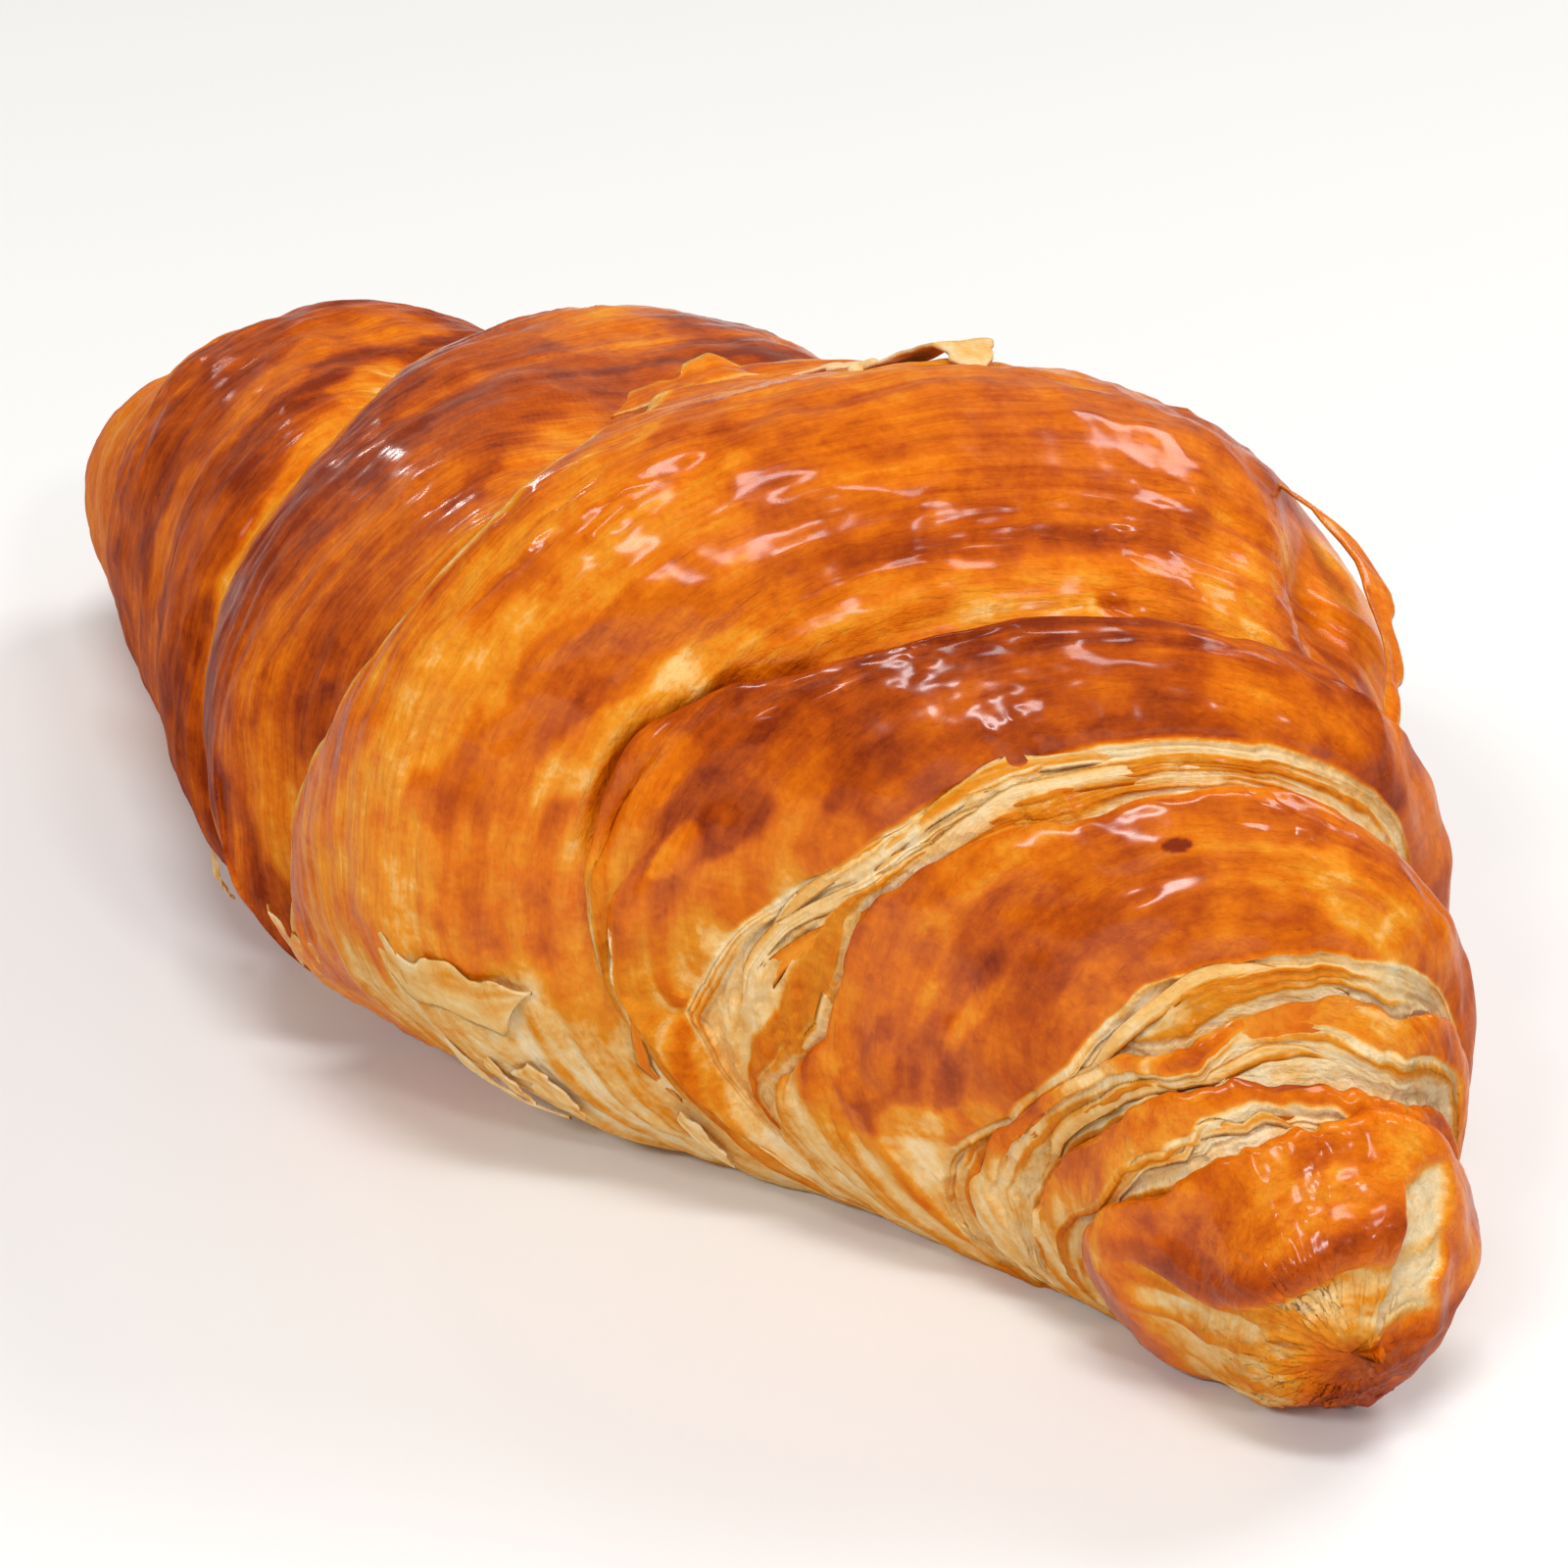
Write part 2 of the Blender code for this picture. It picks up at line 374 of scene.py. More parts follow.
    def piece(self, material):
        """Rolls a sheet into the closed skin: its columns meet, and its first and last rows close."""
        sheet = bmesh.new()
        bmesh.ops.create_grid(sheet, x_segments=self.columns, y_segments=self.rows + 1, size=1.0)
        mesh = bpy.data.meshes.new(self.name)
        sheet.to_mesh(mesh)
        flat = np.empty(len(mesh.vertices) * 3, np.float32)
        mesh.vertices.foreach_get("co", flat)
        flat = flat.reshape(-1, 3)
        column = np.rint((flat[:, 0] + 1) / 2 * self.columns).astype(int)
        band = np.rint((flat[:, 1] + 1) / 2 * (self.rows + 1)).astype(int) - 1
        row, column_in = np.clip(band, 0, self.rows - 1), column % self.columns
        place = self.point[row, column_in]
        for pole in (-1, self.rows):
            place[band == pole] = self.point[np.clip(pole, 0, self.rows - 1)].mean(axis=0)
        mesh.vertices.foreach_set("co", (place * MM).astype(np.float32).ravel())
        for label, values in (("bake", self.bake), ("dough", self.dough), ("gloss", self.gloss)):
            layer = mesh.attributes.new(label, "FLOAT", "POINT")
            layer.data.foreach_set("value", np.clip(values, 0, 1)[row, column_in].astype(np.float32))
        run = np.stack(
            [self.place, np.cos(self.theta) * GIRTH_RADIUS, np.sin(self.theta) * GIRTH_RADIUS], -1
        )
        layer = mesh.attributes.new("run", "FLOAT_VECTOR", "POINT")
        layer.data.foreach_set("vector", run[row, column_in].astype(np.float32).ravel())
        sheet.clear()
        sheet.from_mesh(mesh)
        sheet.verts.ensure_lookup_table()
        joint = (column == 0) | (column == self.columns) | (band == -1) | (band == self.rows)
        bmesh.ops.remove_doubles(sheet, verts=[sheet.verts[i] for i in np.flatnonzero(joint)], dist=1e-7)
        bmesh.ops.recalc_face_normals(sheet, faces=sheet.faces)
        sheet.to_mesh(mesh)
        sheet.free()
        mesh.shade_smooth()
        mesh.materials.append(material)
        return place_piece(self.name, mesh)


def thin_sheet(name, first_edge, second_edge, finish, levels, thickness, cells, seed):
    """Torn sheet of dough between two edges, each a row of (place, degrees, depth)."""
    sheet = bmesh.new()
    bake, dough = sheet.verts.layers.float.new("bake"), sheet.verts.layers.float.new("dough")
    gloss, run = sheet.verts.layers.float.new("gloss"), sheet.verts.layers.float_vector.new("run")
    bmesh.ops.create_grid(sheet, x_segments=cells[0], y_segments=cells[1], size=1.0)
    co = np.array([v.co for v in sheet.verts])
    along, across = co[:, 0] * 0.5 + 0.5, co[:, 1] * 0.5 + 0.5
    ends = smooth_blend(0.0, 0.22, along) * smooth_blend(0.0, 0.22, 1 - along)
    ragged = 1.0 - 0.35 * (0.5 + noise(along * 9.0, 0 * along, 0 * along + 3.0 * (across > 0.5), seed + 5))
    across = 0.5 + (across - 0.5) * ends * ragged
    place, degrees, depth = (
        (1 - across) * np.interp(along, np.linspace(0, 1, len(first_edge)), [p[k] for p in first_edge])
        + across * np.interp(along, np.linspace(0, 1, len(second_edge)), [p[k] for p in second_edge])
        for k in range(3)
    )
    depth = depth + 0.25 * noise(along * 7.0, across * 3.0, 0 * along, seed)
    point = np.stack(body_point(place, np.radians(degrees), depth), -1)
    tint = layered_noise(along * 5.0, across * 6.0, 0 * along, 3, seed + 9)
    rim = smooth_blend(0.72, 1.0, np.abs(co[:, 1]))
    pale = levels[0] < PALE_BELOW
    for vertex, spot, a, b, t, edge in zip(sheet.verts, point, place, degrees, tint, rim):
        vertex.co = Vector(spot) * MM
        vertex[bake] = min(1.0, max(0.0, levels[0] * (1 - edge) + levels[1] * edge + 0.12 * t))
        vertex[dough] = 0.8 if pale else 0.8 * edge
        vertex[gloss] = 0.25 if pale else 0.8
        turn = math.radians(b)
        vertex[run] = Vector((a, GIRTH_RADIUS * math.cos(turn), GIRTH_RADIUS * math.sin(turn)))
    bmesh.ops.solidify(sheet, geom=sheet.faces[:], thickness=thickness * MM)
    bmesh.ops.remove_doubles(sheet, verts=sheet.verts[:], dist=2e-6)
    bmesh.ops.recalc_face_normals(sheet, faces=sheet.faces)
    mesh = bpy.data.meshes.new(name)
    sheet.to_mesh(mesh)
    sheet.free()
    mesh.shade_smooth()
    mesh.materials.append(finish)
    return place_piece(name, mesh)


def ribbon(name, edge, offset, width, depth, start, end, levels, seed):
    """Thin raised layer that runs round the body beside an edge of the dough."""
    angles = np.linspace(start, end, 14)
    wave = 0.35 * noise(angles / 13.0, 0 * angles, 0 * angles, seed)
    places = edge_at(edge, np.radians(angles)) + offset + wave
    spread = np.interp(angles, (start, (start + end) / 2, end), (1.0, 1.2, 2.0)) * width
    share = np.linspace(0, 1, 14)
    tucked = depth + 1.6 * (1 - smooth_blend(0, 0.2, share) * smooth_blend(1, 0.8, share))
    first = list(zip(places, angles, tucked))
    second = list(zip(places + spread, angles, tucked + 0.5))
    return thin_sheet(name, first, second, pastry("torn_dough"), levels, RIBBON_THICKNESS, RIBBON_CELLS, seed)


def place_piece(name, mesh):
    piece = bpy.data.objects.new(name, mesh)
    bpy.context.scene.collection.objects.link(piece)
    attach(piece, "root")
    return piece


# ---------------------------------------------------------------------------
# Settings
# ---------------------------------------------------------------------------


class CroissantShape(PropertyGroup):
    wrinkle: FloatProperty(
        name="Wrinkles", description="Height of the fine wrinkles of the glazed crust, in mm",
        default=0.16, min=0.0, max=1.0,
    )
    blister: FloatProperty(
        name="Blisters", description="Height of the low swellings and dents of the crust, in mm",
        default=0.45, min=0.0, max=2.0,
    )
    crinkle: FloatProperty(
        name="Crinkles", description="Height of the crinkled folds of the blistered crust, in mm",
        default=0.24, min=0.0, max=1.0,
    )
    layer: FloatProperty(
        name="Layers", description="Height of the ridges on the cut faces of the dough, in mm",
        default=0.35, min=0.0, max=1.0,
    )
    columns: IntProperty(
        name="Fineness", description="Points round the widest layer of dough",
        default=620, min=64, max=700,
    )


class CroissantColours(PropertyGroup):
    cream: FloatVectorProperty(
        name="Cream", description="Pale inner dough", subtype="COLOR", size=3,
        default=(0.96, 0.76, 0.46), min=0.0, max=1.0,
    )
    straw: FloatVectorProperty(
        name="Straw", description="Dough that has just begun to colour", subtype="COLOR", size=3,
        default=(0.90, 0.55, 0.19), min=0.0, max=1.0,
    )
    honey: FloatVectorProperty(
        name="Honey", description="Lightly baked crust", subtype="COLOR", size=3,
        default=(0.80, 0.29, 0.016), min=0.0, max=1.0,
    )
    amber: FloatVectorProperty(
        name="Amber", description="Well baked crust", subtype="COLOR", size=3,
        default=(0.70, 0.155, 0.0012), min=0.0, max=1.0,
    )
    chestnut: FloatVectorProperty(
        name="Chestnut", description="Crust on the exposed shoulders", subtype="COLOR", size=3,
        default=(0.47, 0.072, 0.0008), min=0.0, max=1.0,
    )
    mahogany: FloatVectorProperty(
        name="Mahogany", description="Darkest crust on the ridges", subtype="COLOR", size=3,
        default=(0.22, 0.022, 0.0008), min=0.0, max=1.0,
    )


class CroissantStage(PropertyGroup):
    floor: FloatVectorProperty(
        name="Floor", description="Colour of the floor", subtype="COLOR", size=3,
        default=(0.83, 0.83, 0.83), min=0.0, max=1.0,
    )
    key_power: FloatProperty(
        name="Key light", description="Power of the soft light behind the croissant, in watts",
        default=5.6, min=0.0, unit="POWER",
    )
    top_power: FloatProperty(
        name="Top light", description="Power of the soft light above, in watts",
        default=5.2, min=0.0, unit="POWER",
    )
    side_power: FloatProperty(
        name="Side light", description="Power of the low light at the far end, in watts",
        default=0.26, min=0.0, unit="POWER",
    )
    front_power: FloatProperty(
        name="Front lights", description="Power of the fill lights beside the camera, in watts",
        default=3.6, min=0.0, unit="POWER",
    )
    room: FloatProperty(
        name="Room light", description="Strength of the even light of the room",
        default=0.33, min=0.0, max=4.0,
    )


def shape():
    return bpy.context.scene.croissant_shape


def colours():
    return bpy.context.scene.croissant_colours


def stage_settings():
    return bpy.context.scene.croissant_stage


# ---------------------------------------------------------------------------
# Materials
# ---------------------------------------------------------------------------


def new_group(name, inputs, outputs):
    """A shader node group with numbers going in, named sockets coming out, and its two end nodes."""
    group = bpy.data.node_groups.new(name, "ShaderNodeTree")
    for label, value in inputs:
        socket = group.interface.new_socket(name=label, in_out="INPUT", socket_type="NodeSocketFloat")
        socket.default_value = value
    for label, kind in outputs:
        group.interface.new_socket(name=label, in_out="OUTPUT", socket_type=kind)
    return group, group.nodes.new("NodeGroupInput"), group.nodes.new("NodeGroupOutput")


def add_node(tree, kind, links=(), **settings):
    """A node with its settings, and links given as (input socket, source socket or value)."""
    made = tree.nodes.new(kind)
    for key, value in settings.items():
        setattr(made, key, value)
    for socket, source in links:
        if hasattr(source, "is_output"):
            tree.links.new(source, made.inputs[socket])
        else:
            made.inputs[socket].default_value = source
    return made


def arithmetic(tree, operation, first, second=0.0, clamp=False):
    links = ((0, first), (1, second))
    return add_node(tree, "ShaderNodeMath", links, operation=operation, use_clamp=clamp).outputs[0]


def noise_texture(tree, vector, scale, detail, roughness, distortion=0.0):
    inputs = ("Vector", "Scale", "Detail", "Roughness", "Distortion")
    links = tuple(zip(inputs, (vector, scale, detail, roughness, distortion)))
    return add_node(tree, "ShaderNodeTexNoise", links).outputs["Fac"]


def along_the_run(tree, across, along):
    """The layer's own coordinates, with this many features to the mm across and along the dough."""
    run = add_node(tree, "ShaderNodeAttribute", attribute_name="run").outputs["Vector"]
    links = (("Vector", run), ("Scale", (across, along, along)))
    return add_node(tree, "ShaderNodeMapping", links).outputs[0]


def bake_colour_group():
    """Turns a bake level into the colour of dough, from cream to mahogany, with fine mottling and small
    specks of painted shade for tiny pits.
    """
    inputs = (("Bake", 0.5), ("Mottle", 0.1), ("Streak", 0.08))
    group, start, end = new_group("BakeColour", inputs, (("Color", "NodeSocketColor"),))
    place = add_node(group, "ShaderNodeTexCoord").outputs["Object"]
    spots = noise_texture(group, place, 420.0, 5.0, 0.6)
    grains = noise_texture(group, place, 1900.0, 3.0, 0.6)
    strokes = noise_texture(group, along_the_run(group, 1.6, 0.16), 1.0, 5.0, 0.65)
    level = start.outputs["Bake"]
    for source, amount, share in ((spots, "Mottle", 1.0), (grains, "Mottle", 0.45), (strokes, "Streak", 1.0)):
        centred = arithmetic(group, "SUBTRACT", source, 0.5)
        weighed = arithmetic(group, "MULTIPLY", centred, start.outputs[amount])
        level = arithmetic(group, "ADD", level, arithmetic(group, "MULTIPLY", weighed, 2.4 * share))
    # Small dark specks: painted shade of tiny pits and cracks in the crust.
    pit_shade = arithmetic(group, "SUBTRACT", noise_texture(group, place, 760.0, 2.0, 0.5), 0.62)
    painted_pit_shade = arithmetic(group, "MULTIPLY", pit_shade, 3.0, clamp=True)
    level = arithmetic(group, "ADD", level, arithmetic(group, "MULTIPLY", painted_pit_shade, start.outputs["Mottle"]))
    ramp = group.nodes.new("ShaderNodeValToRGB")
    shades = colours()
    stops = (
        (0.0, shades.cream), (0.17, shades.straw), (0.34, shades.honey),
        (0.54, shades.amber), (0.76, shades.chestnut), (1.0, shades.mahogany),
    )
    while len(ramp.color_ramp.elements) < len(stops):
        ramp.color_ramp.elements.new(0.5)
    for element, (position, colour) in zip(ramp.color_ramp.elements, stops):
        element.position = position
        element.color = (*colour, 1.0)
    group.links.new(level, ramp.inputs[0])
    group.links.new(ramp.outputs[0], end.inputs["Color"])


def pastry_relief_group():
    """Fine relief of the glaze and of the torn dough, as a height."""
    outputs = (("Height", "NodeSocketFloat"), ("Rough", "NodeSocketFloat"))
    group, start, end = new_group("PastryRelief", (("Dough", 0.0), ("Wrinkle", 1.0)), outputs)
    place = add_node(group, "ShaderNodeTexCoord").outputs["Object"]
    creases = noise_texture(group, along_the_run(group, 2.6, 0.45), 1.0, 4.0, 0.55, 0.6)
    pimples = noise_texture(group, place, 1300.0, 3.0, 0.55)
    fibres = noise_texture(group, along_the_run(group, 5.0, 0.5), 1.0, 5.0, 0.7)
    pores = add_node(group, "ShaderNodeTexVoronoi", (("Vector", place), ("Scale", 1100.0)), feature="F1")
    creased = arithmetic(group, "MULTIPLY", creases, start.outputs["Wrinkle"])
    crust = arithmetic(group, "ADD", creased, arithmetic(group, "MULTIPLY", pimples, 0.45))
    stringy = arithmetic(group, "MULTIPLY", fibres, 1.3)
    torn = arithmetic(group, "ADD", stringy, arithmetic(group, "MULTIPLY", pores.outputs["Distance"], 0.7))
    share = start.outputs["Dough"]
    crust = arithmetic(group, "MULTIPLY", crust, arithmetic(group, "SUBTRACT", 1.0, share))
    height = arithmetic(group, "ADD", crust, arithmetic(group, "MULTIPLY", torn, share))
    group.links.new(height, end.inputs["Height"])
    group.links.new(pimples, end.inputs["Rough"])


def pastry_material(name, mottle, streak, shine, wrinkle):
    """Glazed crust and pale dough in one finish, shared out by the layer's own bake, dough and gloss."""
    material = bpy.data.materials.new(name)
    material.use_nodes = True
    tree = material.node_tree
    shader = tree.nodes["Principled BSDF"]
    bake, dough, gloss = (
        add_node(tree, "ShaderNodeAttribute", attribute_name=label).outputs["Fac"]
        for label in ("bake", "dough", "gloss")
    )
    colour = add_node(tree, "ShaderNodeGroup", node_tree=bpy.data.node_groups["BakeColour"])
    relief = add_node(tree, "ShaderNodeGroup", node_tree=bpy.data.node_groups["PastryRelief"])
    colour.inputs["Mottle"].default_value = mottle
    colour.inputs["Streak"].default_value = streak
    relief.inputs["Wrinkle"].default_value = wrinkle
    tree.links.new(bake, colour.inputs["Bake"])
    tree.links.new(dough, relief.inputs["Dough"])
    tree.links.new(colour.outputs["Color"], shader.inputs["Base Color"])
    roughness = arithmetic(tree, "SUBTRACT", 0.72, arithmetic(tree, "MULTIPLY", gloss, 0.40))
    uneven = arithmetic(tree, "MULTIPLY", relief.outputs["Rough"], 0.12)
    tree.links.new(arithmetic(tree, "ADD", roughness, uneven, clamp=True), shader.inputs["Roughness"])
    tree.links.new(arithmetic(tree, "MULTIPLY", gloss, shine, clamp=True), shader.inputs["Coat Weight"])
    shader.inputs["Coat Roughness"].default_value = 0.16
    shader.inputs["Coat IOR"].default_value = 1.45
    shader.inputs["IOR"].default_value = 1.4
    shader.inputs["Specular IOR Level"].default_value = 0.04
    links = (("Height", relief.outputs["Height"]), ("Strength", 0.8), ("Distance", 0.0004))
    tree.links.new(add_node(tree, "ShaderNodeBump", links).outputs["Normal"], shader.inputs["Normal"])
    return material


def pastry(name):
    """The named finish, made once."""
    if "BakeColour" not in bpy.data.node_groups:
        bake_colour_group()
        pastry_relief_group()
    if name in bpy.data.materials:
        return bpy.data.materials[name]
    looks = {
        "glazed_crust": dict(mottle=0.17, streak=0.16, shine=0.62, wrinkle=1.0),
        "far_crust": dict(mottle=0.15, streak=0.16, shine=0.2, wrinkle=1.0),
        "torn_dough": dict(mottle=0.07, streak=0.10, shine=0.25, wrinkle=0.4),
    }
    return pastry_material(name, **looks[name])


# ---------------------------------------------------------------------------
# The layers of dough
# ---------------------------------------------------------------------------

# Profiles across a layer, from its hidden start to its hidden end: edge, offset along the spine in mm,
# depth below the envelope in mm and how many rows the step before it takes, in parts.
NUB_PROFILE = (
    ("tip", 0.0, 1.8, 0), ("tip", 3.0, 1.1, 1.2), ("tip", 14.0, 1.4, 2.0), ("a_lip", -3.0, 1.8, 1.6),
    ("a_lip", 1.0, 3.8, 0.8), ("a_lip", 2.0, 9.0, 0.4),
)
WRAP_A_PROFILE = (
    ("a_lip", 4.0, 9.0, 0), ("a_lip", 1.4, 3.6, 0.4), ("a_lip", -0.2, 2.1, 0.3),
    ("a_lip", 0.0, 1.1, 0.3), ("a_lip", 1.6, 0.2, 0.4), ("a_lip", 8.0, -0.6, 1.4),
    ("b_foot", -12.0, -0.3, 1.6), ("b_foot", -3.0, 1.4, 1.4), ("b_foot", 1.0, 3.2, 1.0),
    ("b_lip", 1.5, 4.8, 0.8), ("b_lip", 4.0, 9.0, 0.4),
)
WRAP_B_PROFILE = (
    ("b_lip", 4.0, 9.0, 0), ("b_lip", 1.4, 3.6, 0.4), ("b_lip", -0.2, 2.1, 0.3),
    ("b_lip", 0.0, 1.1, 0.3), ("b_lip", 1.7, 0.2, 0.4), ("b_lip", 8.0, -0.7, 1.5),
    ("c_lip", -18.0, -0.4, 1.6), ("c_lip", -3.5, 3.0, 1.8), ("c_lip", 1.5, 5.2, 1.0),
    ("c_lip", 5.0, 9.0, 0.4),
)
WRAP_C_PROFILE = (
    ("c_lip", 4.0, 9.0, 0), ("c_lip", 1.4, 4.4, 0.4), ("c_lip", -0.3, 2.4, 0.4),
    ("c_lip", -0.2, 0.9, 0.4), ("c_lip", 1.0, -0.2, 0.5), ("c_lip", 7.0, -0.3, 1.6),
    ("d_ridge", -12.0, 0.2, 2.0), ("d_ridge", -5.0, 2.2, 1.4), ("d_ridge", 0.5, 4.4, 1.2),
    ("d_ridge", 4.0, 9.0, 0.4),
)
WRAP_D_PROFILE = (
    ("d_ridge", 3.0, 9.0, 0), ("d_ridge", 0.2, 4.8, 0.5), ("d_ridge", -0.3, 2.6, 0.4),
    ("d_ridge", 0.2, 1.0, 0.4), ("d_ridge", 1.8, -0.1, 0.6), ("d_lip", -3.0, -0.4, 1.0),
    ("d_lip", -0.9, 0.3, 0.7), ("d_lip", 0.1, 1.2, 0.5), ("d_lip", 0.3, 2.0, 0.3),
    ("d_lip", 1.2, 2.7, 0.7), ("e_start", -1.6, 3.5, 1.6), ("e_start", 0.6, 5.0, 0.6),
    ("e_start", 2.0, 9.0, 0.3),
)
WRAP_E_PROFILE = (
    ("e_start", 2.0, 9.0, 0), ("e_start", 0.4, 4.8, 0.4), ("e_start", -0.2, 3.0, 0.3),
    ("e_start", 0.1, 1.4, 0.4), ("e_start", 1.5, 0.2, 0.5), ("e_lip", -3.0, -0.4, 1.5),
    ("e_lip", -0.8, 0.4, 0.7), ("e_lip", 0.1, 1.2, 0.4), ("e_lip", 0.3, 1.9, 0.3),
    ("f_start", -0.8, 2.6, 1.0), ("f_start", 0.6, 4.0, 0.5), ("f_start", 1.5, 8.0, 0.3),
)
STRIP_F_PROFILE = (
    ("f_start", 1.5, 8.0, 0), ("f_start", 0.2, 3.4, 0.4), ("f_start", 0.0, 1.9, 0.4),
    ("f_start", 0.6, 1.2, 0.4), ("f_lip", -0.2, 1.3, 0.6), ("f_lip", 0.3, 2.1, 0.4),
    ("f2_start", -0.5, 2.7, 1.2), ("f2_start", 0.4, 3.6, 0.4), ("f2_start", 1.0, 7.0, 0.3),
)
STRIP_G_PROFILE = (
    ("f2_start", 1.0, 7.0, 0), ("f2_start", 0.0, 3.0, 0.4), ("f2_start", -0.1, 1.9, 0.3),
    ("f2_start", 0.5, 1.3, 0.4), ("f2_lip", 0.0, 1.4, 0.5), ("f2_lip", 0.4, 2.2, 0.4),
    ("g_ridge", -0.4, 2.7, 0.8), ("g_ridge", 0.4, 3.6, 0.3), ("g_ridge", 1.0, 7.0, 0.3),
)
NEAR_CAP_PROFILE = (
    ("g_ridge", 1.0, 7.0, 0), ("g_ridge", 0.0, 3.2, 0.3), ("g_ridge", -0.1, 2.0, 0.3),
    ("g_ridge", 0.2, 1.0, 0.4), ("g_ridge", 1.2, 0.2, 0.5), ("end", -4.5, -0.2, 1.2),
    ("end", -1.6, 0.2, 1.0), ("end", 0.0, 1.2, 0.8),
)

# Patches of the crust: share of the wrap's width, angle, width as a share, height in degrees, bake level.
A_PATCHES = (
    (0.27, 150, 0.09, 22, 0.88), (0.34, 130, 0.1, 12, 0.85), (0.32, 103, 0.12, 10, 0.86),
    (0.58, 121, 0.1, 14, 0.6), (0.61, 108, 0.1, 12, 0.6), (0.51, 88, 0.2, 12, 0.68),
    (0.69, 82, 0.2, 10, 0.6), (1.0, 101, 0.15, 10, 0.42), (1.05, 120, 0.12, 14, 0.42),
    (1.1, 144, 0.12, 20, 0.4), (0.8, 154, 0.1, 16, 0.75), (0.54, 156, 0.08, 18, 0.6),
    (0.31, 171, 0.1, 20, 0.85), (0.45, 182, 0.2, 14, 0.78), (0.1, 140, 0.08, 40, 0.8),
)
B_PATCHES = (
    (0.1, 140, 0.12, 60, 0.97), (0.44, 92, 0.15, 9, 0.82), (0.27, 92, 0.1, 10, 0.78),
    (0.51, 82, 0.16, 8, 0.52), (0.33, 76, 0.1, 8, 0.45), (0.93, 94, 0.15, 10, 0.66),
    (0.86, 106, 0.14, 10, 0.45), (0.78, 112, 0.12, 10, 0.45), (0.77, 134, 0.1, 14, 0.6),
    (0.62, 148, 0.06, 14, 0.82), (0.69, 144, 0.06, 12, 0.78), (0.49, 149, 0.1, 14, 0.66),
    (0.53, 127, 0.12, 14, 0.64), (0.83, 165, 0.08, 10, 0.78), (0.31, 178, 0.08, 7, 0.95),
    (0.58, 173, 0.1, 10, 0.58), (0.84, 180, 0.2, 10, 0.4),
)
C_PATCHES = (
    (0.06, 135, 0.08, 40, 0.7), (0.54, 160, 0.14, 16, 0.34), (0.23, 140, 0.1, 12, 0.44),
    (0.47, 172, 0.12, 12, 0.38), (0.28, 122, 0.12, 10, 0.46), (0.31, 116, 0.1, 8, 0.5),
    (0.49, 148, 0.12, 12, 0.38), (0.67, 137, 0.1, 12, 0.68), (0.77, 148, 0.07, 10, 0.74),
    (0.69, 148, 0.06, 10, 0.7), (0.7, 162, 0.08, 9, 0.64), (0.65, 167, 0.07, 8, 0.68),
    (0.36, 108, 0.05, 6, 0.7), (0.5, 104, 0.06, 6, 0.74), (0.5, 99, 0.1, 8, 0.6),
    (0.76, 106, 0.08, 9, 0.76), (0.77, 94, 0.12, 10, 0.7), (0.68, 108, 0.1, 8, 0.68),
    (0.7, 95, 0.1, 10, 0.6), (0.64, 78, 0.2, 10, 0.66), (0.75, 64, 0.2, 14, 0.62),
    (0.62, 54, 0.2, 12, 0.68), (0.94, 97, 0.025, 10, 0.4), (0.94, 87, 0.03, 8, 0.42),
    # The patch at (0.95, 82) darkens the small dent made at the same place in C_SWELLS: painted shade in the
    # dent.
    (0.98, 86, 0.04, 8, 0.36), (0.95, 82, 0.015, 2.5, 0.8), (0.91, 58, 0.08, 10, 0.42),
    (0.93, 42, 0.08, 10, 0.7), (0.76, 176, 0.1, 8, 0.5), (0.4, 186, 0.15, 8, 0.55),
    (0.29, 182, 0.1, 8, 0.45), (0.63, 178, 0.1, 9, 0.34), (0.94, 168, 0.08, 8, 0.36),
    (0.88, 142, 0.05, 10, 0.28), (0.84, 132, 0.05, 8, 0.3), (0.85, 154, 0.06, 8, 0.3),
    (0.93, 152, 0.03, 9, 0.74), (0.94, 144, 0.03, 8, 0.76), (0.93, 131, 0.03, 8, 0.7),
    (0.95, 176, 0.07, 8, 0.42), (0.99, 185, 0.08, 8, 0.3),
)
C_SWELLS = (
    (0.82, 39, 0.1, 8, -3.2), (0.69, 124, 0.1, 10, 0.7), (0.62, 138, 0.03, 8, 0.5),
    (0.66, 152, 0.03, 4, 0.6), (0.87, 138, 0.04, 16, 0.6), (0.94, 145, 0.03, 16, -0.5),
    # The dent at (0.95, 82) is also darkened by the patch at the same place in C_PATCHES, which is painted
    # shade.
    (0.5, 107, 0.03, 8, -0.4), (0.75, 98, 0.06, 8, 0.4), (0.95, 82, 0.015, 2.5, -0.6),
    (0.7, 66, 0.1, 10, 0.5), (0.84, 60, 0.05, 12, -0.4), (0.55, 165, 0.05, 10, -0.4),
    (0.72, 172, 0.05, 10, 0.5),
)
D_PATCHES = (
    (0.23, 104, 0.2, 10, 0.93), (0.25, 86, 0.2, 10, 0.9), (0.26, 126, 0.2, 10, 0.82),
    (0.21, 64, 0.3, 10, 0.66), (0.89, 70, 0.25, 12, 0.58), (0.84, 46, 0.3, 12, 0.6),
    (0.36, 114, 0.2, 8, 0.92), (0.33, 137, 0.15, 7, 0.86), (0.68, 143, 0.2, 8, 0.72),
    (0.88, 152, 0.2, 8, 0.52), (0.95, 162, 0.2, 8, 0.46), (0.25, 152, 0.15, 7, 0.62),
    (0.34, 160, 0.1, 8, 0.5), (0.17, 164, 0.1, 8, 0.58), (0.5, 154, 0.12, 6, 0.86),
    (0.67, 154, 0.13, 6, 0.96), (0.52, 176, 0.15, 6, 0.8), (0.12, 176, 0.12, 6, 0.58),
    (0.75, 188, 0.2, 8, 0.62), (0.58, 161, 0.1, 5, 0.5), (0.91, 174, 0.15, 8, 0.62),
    (0.77, 98, 0.2, 10, 0.8),
)
